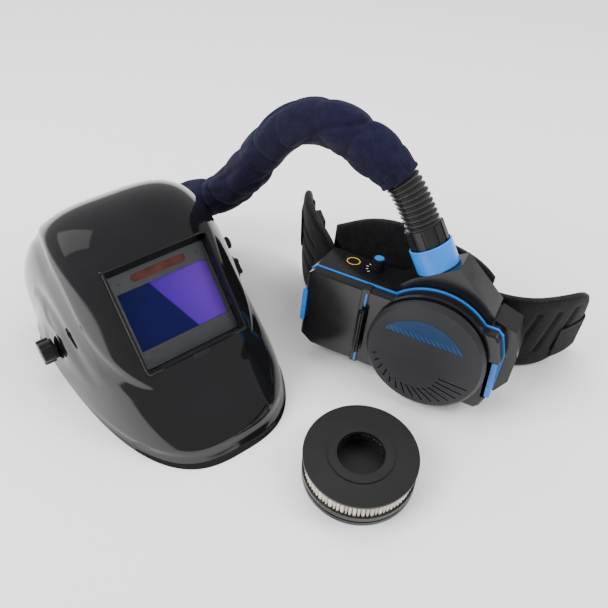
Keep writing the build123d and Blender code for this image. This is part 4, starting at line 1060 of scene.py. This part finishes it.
def pad(name, outline, to_world, half_thick, press, node):
    """A quilted pad between two faces, with its edge bound in tape. press(u, v) is how far the
    outer face is pushed in, in millimetres."""
    count = len(outline)
    middle = outline.mean(axis=0)
    rings = 46
    shares = 1 - (np.arange(rings) / (rings - 1)) ** 0.85 * 0.995
    near = 4.0
    sides = []
    for sign in (-1, 1):
        layer = []
        for share in shares:
            ring = middle + (outline - middle) * share
            inset = np.linalg.norm(outline - ring, axis=1)
            soft = np.sqrt(np.clip(1 - np.clip(1 - inset / 14.0, 0, 1) ** 2, 0, 1))
            thick = half_thick * (0.42 + 0.58 * soft)
            lumps = 0.25 * np.sin(ring[:, 0] * 0.21 + sign) * np.sin(ring[:, 1] * 0.17 + 2 * sign)
            thick = thick + lumps * soft
            thick -= press(ring[:, 0], ring[:, 1], sign) * ramp(inset, near, near + 5)
            layer.append(np.column_stack([ring, sign * thick]))
        sides.append(np.vstack(layer))
    points = [to_world(u, v, w) for u, v, w in np.vstack(sides)]
    total = rings * count
    faces = grid_faces(rings, count, wrap=True)
    faces += turned(grid_faces(rings, count, True, total))
    faces.append(tuple(range(total - count, total)))
    faces.append(tuple(reversed(range(2 * total - count, 2 * total))))
    faces += ring_faces(total, 0, count)
    body = solid_mesh(name, points, faces, BELT.material)
    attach(body, "root")
    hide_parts(node)

    # binding tape round the edge
    tangents = np.roll(outline, -1, axis=0) - np.roll(outline, 1, axis=0)
    tangents /= np.linalg.norm(tangents, axis=1, keepdims=True)
    outward = np.column_stack([tangents[:, 1], -tangents[:, 0]])
    if ((outline - middle) * outward).sum() < 0:
        outward = -outward
    section = 16
    points = []
    for c in range(count):
        pucker = 1 + 0.05 * math.sin(c * 1.9)
        for k in range(section):
            a = 2 * math.pi * k / section
            out = 3.4 * math.copysign(abs(math.cos(a)) ** 0.55, math.cos(a)) - 2.95
            up = (half_thick * 0.42 + 0.9) * pucker
            up *= math.copysign(abs(math.sin(a)) ** 0.7, math.sin(a))
            u, v = outline[c] + outward[c] * out
            points.append(to_world(u, v, up))
    faces = grid_faces(count, section, wrap=True)
    faces += ring_faces((count - 1) * section, 0, section)
    tape = solid_mesh(name + "_binding", points, faces, WEBBING.material)
    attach(tape, "root")


PAD_THICK = 11.0
PAD_FRONT = 84.0


def channel(u, v, a, b, width, depth):
    """A sewn groove from a to b."""
    a, b = np.array(a, float), np.array(b, float)
    along = b - a
    t = np.clip(((u - a[0]) * along[0] + (v - a[1]) * along[1]) / (along @ along), 0, 1)
    off = np.hypot(u - a[0] - along[0] * t, v - a[1] - along[1] * t)
    return depth * np.exp(-((off / width) ** 2))


def make_centre_pad():
    outline = smooth_outline([
        ((-150, 66), (-150, -44)), ((-150, -44), (-138, -54)), ((-138, -54), (28, -54)),
        ((28, -54), (38, -46)), ((38, -46), (38, 66)),
        ((38, 66), (10, 82), (-40, 91), (-85, 93), (-120, 83), (-136, 74), (-150, 66)),
    ], 300)

    def press(u, v, sign):
        total = channel(u, v, (-120, 48), (18, 48), 2.4, 1.5)
        total += channel(u, v, (-120, -30), (18, -30), 2.4, 1.5)
        return total

    def to_world(u, v, w):
        return BLOWER.at(u, PAD_FRONT + PAD_THICK / 2 + w, v)

    pad("belt_centre_cushion", outline, to_world, PAD_THICK / 2, press, "belt_centre_pad")


def circle_through(a, b, c):
    centre = np.linalg.solve(2 * np.array([b - a, c - a]), [b @ b - a @ a, c @ c - a @ a])
    return centre, float(np.linalg.norm(a - centre))


class Plan:
    """A pad's centre-line in plan: an arc through three survey points."""

    def __init__(self, survey, turn):
        self.points = [np.array(p, float) - np.array(MIDDLE[:2]) for p in survey]
        self.centre, self.radius = circle_through(*self.points)
        self.turn = turn
        chord = self.points[2] - self.points[0]
        self.chord = chord / np.linalg.norm(chord)

    def at_chord(self, u, w):
        """The point u along the chord and w outward from the arc."""
        foot = self.points[0] + self.chord * u
        normal = np.array((self.chord[1], -self.chord[0]))
        offset = foot - self.centre
        half = offset @ normal
        gap = offset @ offset - self.radius**2
        root = math.sqrt(max(half * half - gap, 0.0))
        first = -half + root
        second = -half - root
        reach = first if abs(first) < abs(second) else second
        on_arc = foot + normal * reach
        out = (on_arc - self.centre) / self.radius
        return on_arc + out * w

    def on_arc(self, angle, radius):
        return self.centre + radius * np.array((math.cos(angle), math.sin(angle)))


RIGHT_PLAN = Plan(((211, -84), (256, -93), (315, -69)), 1)
LEFT_PLAN = Plan(((22, 3), (5, 38), (4, 84)), -1)


def side_pad(name, plan, outline, press, node):
    def to_world(u, v, w):
        x, y = plan.at_chord(u, w)
        return Vector((x, y, max(v, 0.35))) * MM

    pad(name, outline, to_world, PAD_THICK / 2, press, node)


def make_side_pads():
    span = float(np.linalg.norm(RIGHT_PLAN.points[2] - RIGHT_PLAN.points[0])) + 6
    outline = smooth_outline([
        ((-3, 0.6), (52, 0.6)), ((52, 0.6), (78, 6), (98, 19), (span, 40)),
        ((span, 40), (span + 2, 72), (span - 10, 98), (span - 34, 108), (40, 108)),
        ((40, 108), (-3, 106)), ((-3, 106), (-3, 0.6)),
    ], 300)

    def press(u, v, sign):
        total = np.zeros_like(u)
        for foot in (30, 52, 74):
            total += channel(u, v, (foot, 30), (foot + 12, 88), 3.0, 2.4)
        return total

    side_pad("belt_right_cushion", RIGHT_PLAN, outline, press, "belt_right_pad")

    span = float(np.linalg.norm(LEFT_PLAN.points[2] - LEFT_PLAN.points[0])) + 6
    outline = smooth_outline([
        ((-12, 0.6), (40, 0.6)), ((40, 0.6), (66, 10), (span, 40)),
        ((span, 40), (span + 2, 84), (span - 8, 118), (span - 30, 128), (-12, 104)),
        ((-12, 104), (-12, 0.6)),
    ], 280)

    def left_press(u, v, sign):
        total = np.zeros_like(u)
        for low in (88, 66, 44):
            total += channel(u, v, (14, low), (60, low + 6), 3.0, 2.0)
        return total

    side_pad("belt_left_cushion", LEFT_PLAN, outline, left_press, "belt_left_pad")


make_centre_pad()
make_side_pads()

WEB_THICK = 1.8
STRAP_GAP = PAD_THICK / 2 + 0.4 + WEB_THICK / 2


def make_strap(name, plan, low, outer_span, inner_span, node):
    """Ribbed webbing that runs round the pad's end, on both its faces."""
    end = plan.points[2] - plan.centre
    end_angle = math.atan2(end[1], end[0])
    outer_r, inner_r = plan.radius + STRAP_GAP, plan.radius - STRAP_GAP
    beyond = plan.turn * 2.5 / plan.radius
    first_angle = end_angle - plan.turn * outer_span / plan.radius
    last_angle = end_angle - plan.turn * inner_span / plan.radius
    centre_line = [plan.on_arc(a, outer_r) for a in
                   np.linspace(first_angle, end_angle + beyond, 60)]
    turn_centre = plan.on_arc(end_angle + beyond, plan.radius)
    heading = plan.turn * np.array((-math.sin(end_angle + beyond), math.cos(end_angle + beyond)))
    outward = np.array((math.cos(end_angle + beyond), math.sin(end_angle + beyond)))
    for k in range(1, 16):
        a = math.pi * k / 16
        centre_line.append(turn_centre + outward * STRAP_GAP * math.cos(a)
                           + heading * (STRAP_GAP + 1.2) * math.sin(a))
    centre_line += [plan.on_arc(a, inner_r) for a in
                    np.linspace(end_angle + beyond, last_angle, 90)]
    line, _ = even_line([(x, y, 0) for x, y in centre_line], 360)
    frames = []
    for i in range(len(line)):
        ahead = (line[min(i + 1, len(line) - 1)] - line[max(i - 1, 0)]).normalized()
        frames.append(Vector((ahead.y, -ahead.x, 0)))
    width = 46.0
    across = 25
    points = []
    for i, (centre, out) in enumerate(zip(line, frames)):
        rib = 0.28 * math.cos(2 * math.pi * i / 4)
        for sign in (-1, 1):
            for k in range(across):
                t = k / (across - 1)
                edge = min(t, 1 - t)
                selvage = 0.22 if edge < 0.07 else rib
                if edge == 0:
                    selvage = -0.5
                half = WEB_THICK / 2 + selvage * 0.9 - 0.15
                height = low + width * (t if sign < 0 else 1 - t)
                place = centre + out * sign * half
                points.append(Vector((place.x, place.y, height)) * MM)
    faces = grid_faces(len(line), 2 * across, wrap=True)
    faces += [tuple(range(2 * across))]
    faces += [tuple(range((len(line) - 1) * 2 * across, len(line) * 2 * across))]
    strap = solid_mesh(name, points, faces, WEBBING.material)
    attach(strap, "root")
    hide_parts(node)


make_strap("belt_right_webbing", RIGHT_PLAN, 14.0, 34.0, 84.0, "belt_right_strap")
make_strap("belt_left_webbing", LEFT_PLAN, 52.0, 30.0, 72.0, "belt_left_strap")


# ---------------------------------------------------------------- filters

PLEATS_OUTER_R = 56.2
PLEATS_INNER_R = 31.0


def pleated_ring(name, frame_of, low, high, pleats, node, body, along="z"):
    """Folded paper in a ring: sharp pleats outside and inside, slightly uneven."""
    rng = random.Random(pleats)
    angles, reaches, inner_reaches = [], [], []
    for k in range(pleats):
        base = 2 * math.pi * k / pleats
        wobble = rng.uniform(-0.18, 0.18) * 2 * math.pi / pleats
        tall = rng.uniform(-0.35, 0.0)
        for part, reach in ((0.0, tall), (0.24, tall - 0.25), (0.5, -3.4), (0.76, tall - 0.25)):
            angles.append(base + wobble + part * 2 * math.pi / pleats)
            reaches.append(PLEATS_OUTER_R + reach)
            inner_reaches.append(PLEATS_INNER_R + (2.6 if part == 0.5 else 0.0))
    count = len(angles)
    levels = (low, low + 0.8, (low + high) / 2, high - 0.8, high)
    points = []
    for radii in (reaches, inner_reaches):
        for n, level in enumerate(levels):
            for k, (a, r) in enumerate(zip(angles, radii)):
                lean = 0.05 * math.sin(k * 0.7 + n)
                x, y = (r + lean) * math.cos(a), (r + lean) * math.sin(a)
                if along == "z":
                    points.append(frame_of.at(x, y, level))
                else:
                    points.append(frame_of.at(x, level, y))
    ring = mesh_object(name, points, two_walls(len(levels), count), PAPER.material, smooth=False)
    outward_faces(ring)
    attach(ring, body)
    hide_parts(node)


pleated_ring("spare_filter_pleats", SPARE, 14.05, 32.45, 84, "spare_filter_media", "spare_filter")


def local_points(node):
    """The node's vertices in the blower's axes, in millimetres."""
    back = BLOWER.matrix().inverted()
    return np.array([back @ v.co for v in frame["nodes"][node].data.vertices]) / MM


media_depths = local_points("main_filter_media")[:, 1]
pleated_ring("main_filter_pleats", BLOWER, media_depths.min() + 0.05,
             media_depths.max() - 0.05, 80, "main_filter_media", "root", along="y")


def printed(name, shapes, level, ink):
    """Thin raised ink on the control label: each shape is an outer and an inner closed line."""
    points, faces = [], []
    for outer, inner in shapes:
        count, start = len(outer), len(points)
        for line, lift in ((outer, 0.0), (outer, 0.12), (inner, 0.12), (inner, 0.0)):
            points += [BLOWER.at(x, y, level + lift) for x, y in line]
        faces += grid_faces(4, count, wrap=True, start=start)
        faces += ring_faces(start + 3 * count, start, count)
    ink_piece = solid_mesh(name, points, faces, ink.material, smooth=False)
    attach(ink_piece, "root")


def round_line(x, y, radius, count=48):
    return [(x + radius * math.cos(2 * math.pi * k / count),
             y + radius * math.sin(2 * math.pi * k / count)) for k in range(count)]


def bar_line(x, y, heading, length, width):
    along = (math.cos(heading) * length / 2, math.sin(heading) * length / 2)
    across = (-math.sin(heading) * width / 2, math.cos(heading) * width / 2)
    return [(x + a * along[0] + b * across[0], y + a * along[1] + b * across[1])
            for a, b in ((1, 1), (-1, 1), (-1, -1), (1, -1))]


def make_label_marks():
    """A yellow ring and the speed knob's white tick marks."""
    label = local_points("control_label")
    level = label[:, 2].max() + 0.01
    left, depth = label[:, 0].min() + 14.0, label[:, 1].mean()
    printed("label_ring", [(round_line(left, depth, 7.75), round_line(left, depth, 6.9))],
            level, YELLOW_INK)
    knob = BLOWER.matrix().inverted() @ place_of("speed_turn") / MM
    ticks = []
    for k in range(5):
        heading = math.radians(126 + 27 * k)
        x, y = knob.x + 11.6 * math.cos(heading), knob.y + 11.6 * math.sin(heading)
        length = 2.0 + 0.25 * k
        ticks.append((bar_line(x, y, heading, length, 0.9),
                      bar_line(x, y, heading, length * 0.4, 0.2)))
    printed("label_ticks", ticks, level, WHITE_INK)


make_label_marks()


def make_prefilter():
    """A round pad of loose fibre behind the filter door, a little uneven on both faces."""
    local = local_points("prefilter")
    middle = (local.min(axis=0) + local.max(axis=0)) / 2
    reach = np.hypot(local[:, 0] - middle[0], local[:, 2] - middle[2])
    outer, inner = reach.max(), reach.min() if reach.min() > 3 else 0.6
    half = (local[:, 1].max() - local[:, 1].min()) / 2
    rings, sides = 30, 150
    rng = random.Random(5)
    waves = [(rng.uniform(0.15, 0.9), rng.uniform(0.15, 0.9), rng.uniform(0, 6)) for _ in range(9)]
    points = []
    for sign in (-1, 1):
        for r in np.linspace(outer, inner, rings):
            soft = math.sqrt(max(0.0, 1 - (1 - min((outer - r) / 2.0, 1)) ** 2))
            for k in range(sides):
                a = 2 * math.pi * k / sides
                x, z = r * math.cos(a), r * math.sin(a)
                lump = sum(math.sin(x * p + z * q + t) for p, q, t in waves) / 9
                thick = half * (0.55 + 0.33 * soft + 0.11 * lump)
                points.append(BLOWER.at(middle[0] + x, middle[1] + sign * thick, middle[2] + z))
    felt = solid_mesh("prefilter_felt", points, two_walls(rings, sides), PAPER.material)
    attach(felt, "door")
    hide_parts("prefilter")


make_prefilter()


# ---------------------------------------------------------------- stage

def make_stage():
    floor_look = Look("floor_white", (0.92, 0.92, 0.92), 0.6, specular=0.2)
    size = 6.0
    points = [(-size, -size, 0), (size, -size, 0), (size, size, 0), (-size, size, 0)]
    floor = mesh_object("floor", points, [(0, 1, 2, 3)], floor_look.material, smooth=False)
    floor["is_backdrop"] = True
    world = bpy.data.worlds.new("studio")
    world.use_nodes = True
    background = world.node_tree.nodes["Background"]
    background.inputs["Color"].default_value = (1.0, 1.0, 1.0, 1.0)
    background.inputs["Strength"].default_value = 0.42
    bpy.context.scene.world = world


def softbox(name, place, aim, size, power, mirrored=False):
    data = bpy.data.lights.new(name, "AREA")
    data.shape = "RECTANGLE"
    data.size, data.size_y = size
    data.energy = power
    lamp = bpy.data.objects.new(name, data)
    bpy.context.scene.collection.objects.link(lamp)
    lamp.visible_glossy = mirrored
    heading = Vector(aim) - Vector(place)
    lamp.matrix_world = (Matrix.Translation(place)
                         @ heading.to_track_quat("-Z", "Y").to_matrix().to_4x4())


make_stage()
softbox("key_left", (-1.6, -0.5, 1.5), (-0.1, 0, 0.1), (1.3, 1.3), 62)
softbox("fill_right", (1.7, -0.2, 1.3), (0.1, 0, 0.1), (0.8, 1.4), 36)
softbox("top", (0.1, 0.9, 1.9), (0, 0, 0.1), (2.6, 1.6), 52)
softbox("sheen_left", (-1.7, 0.3, 1.3), (-0.2, 0, 0.15), (1.1, 1.6), 5, mirrored=True)

boxes = {"cad": cad_box, "visual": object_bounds()}
{k: [list(map(float, corner)) for corner in v] for k, v in boxes.items()}
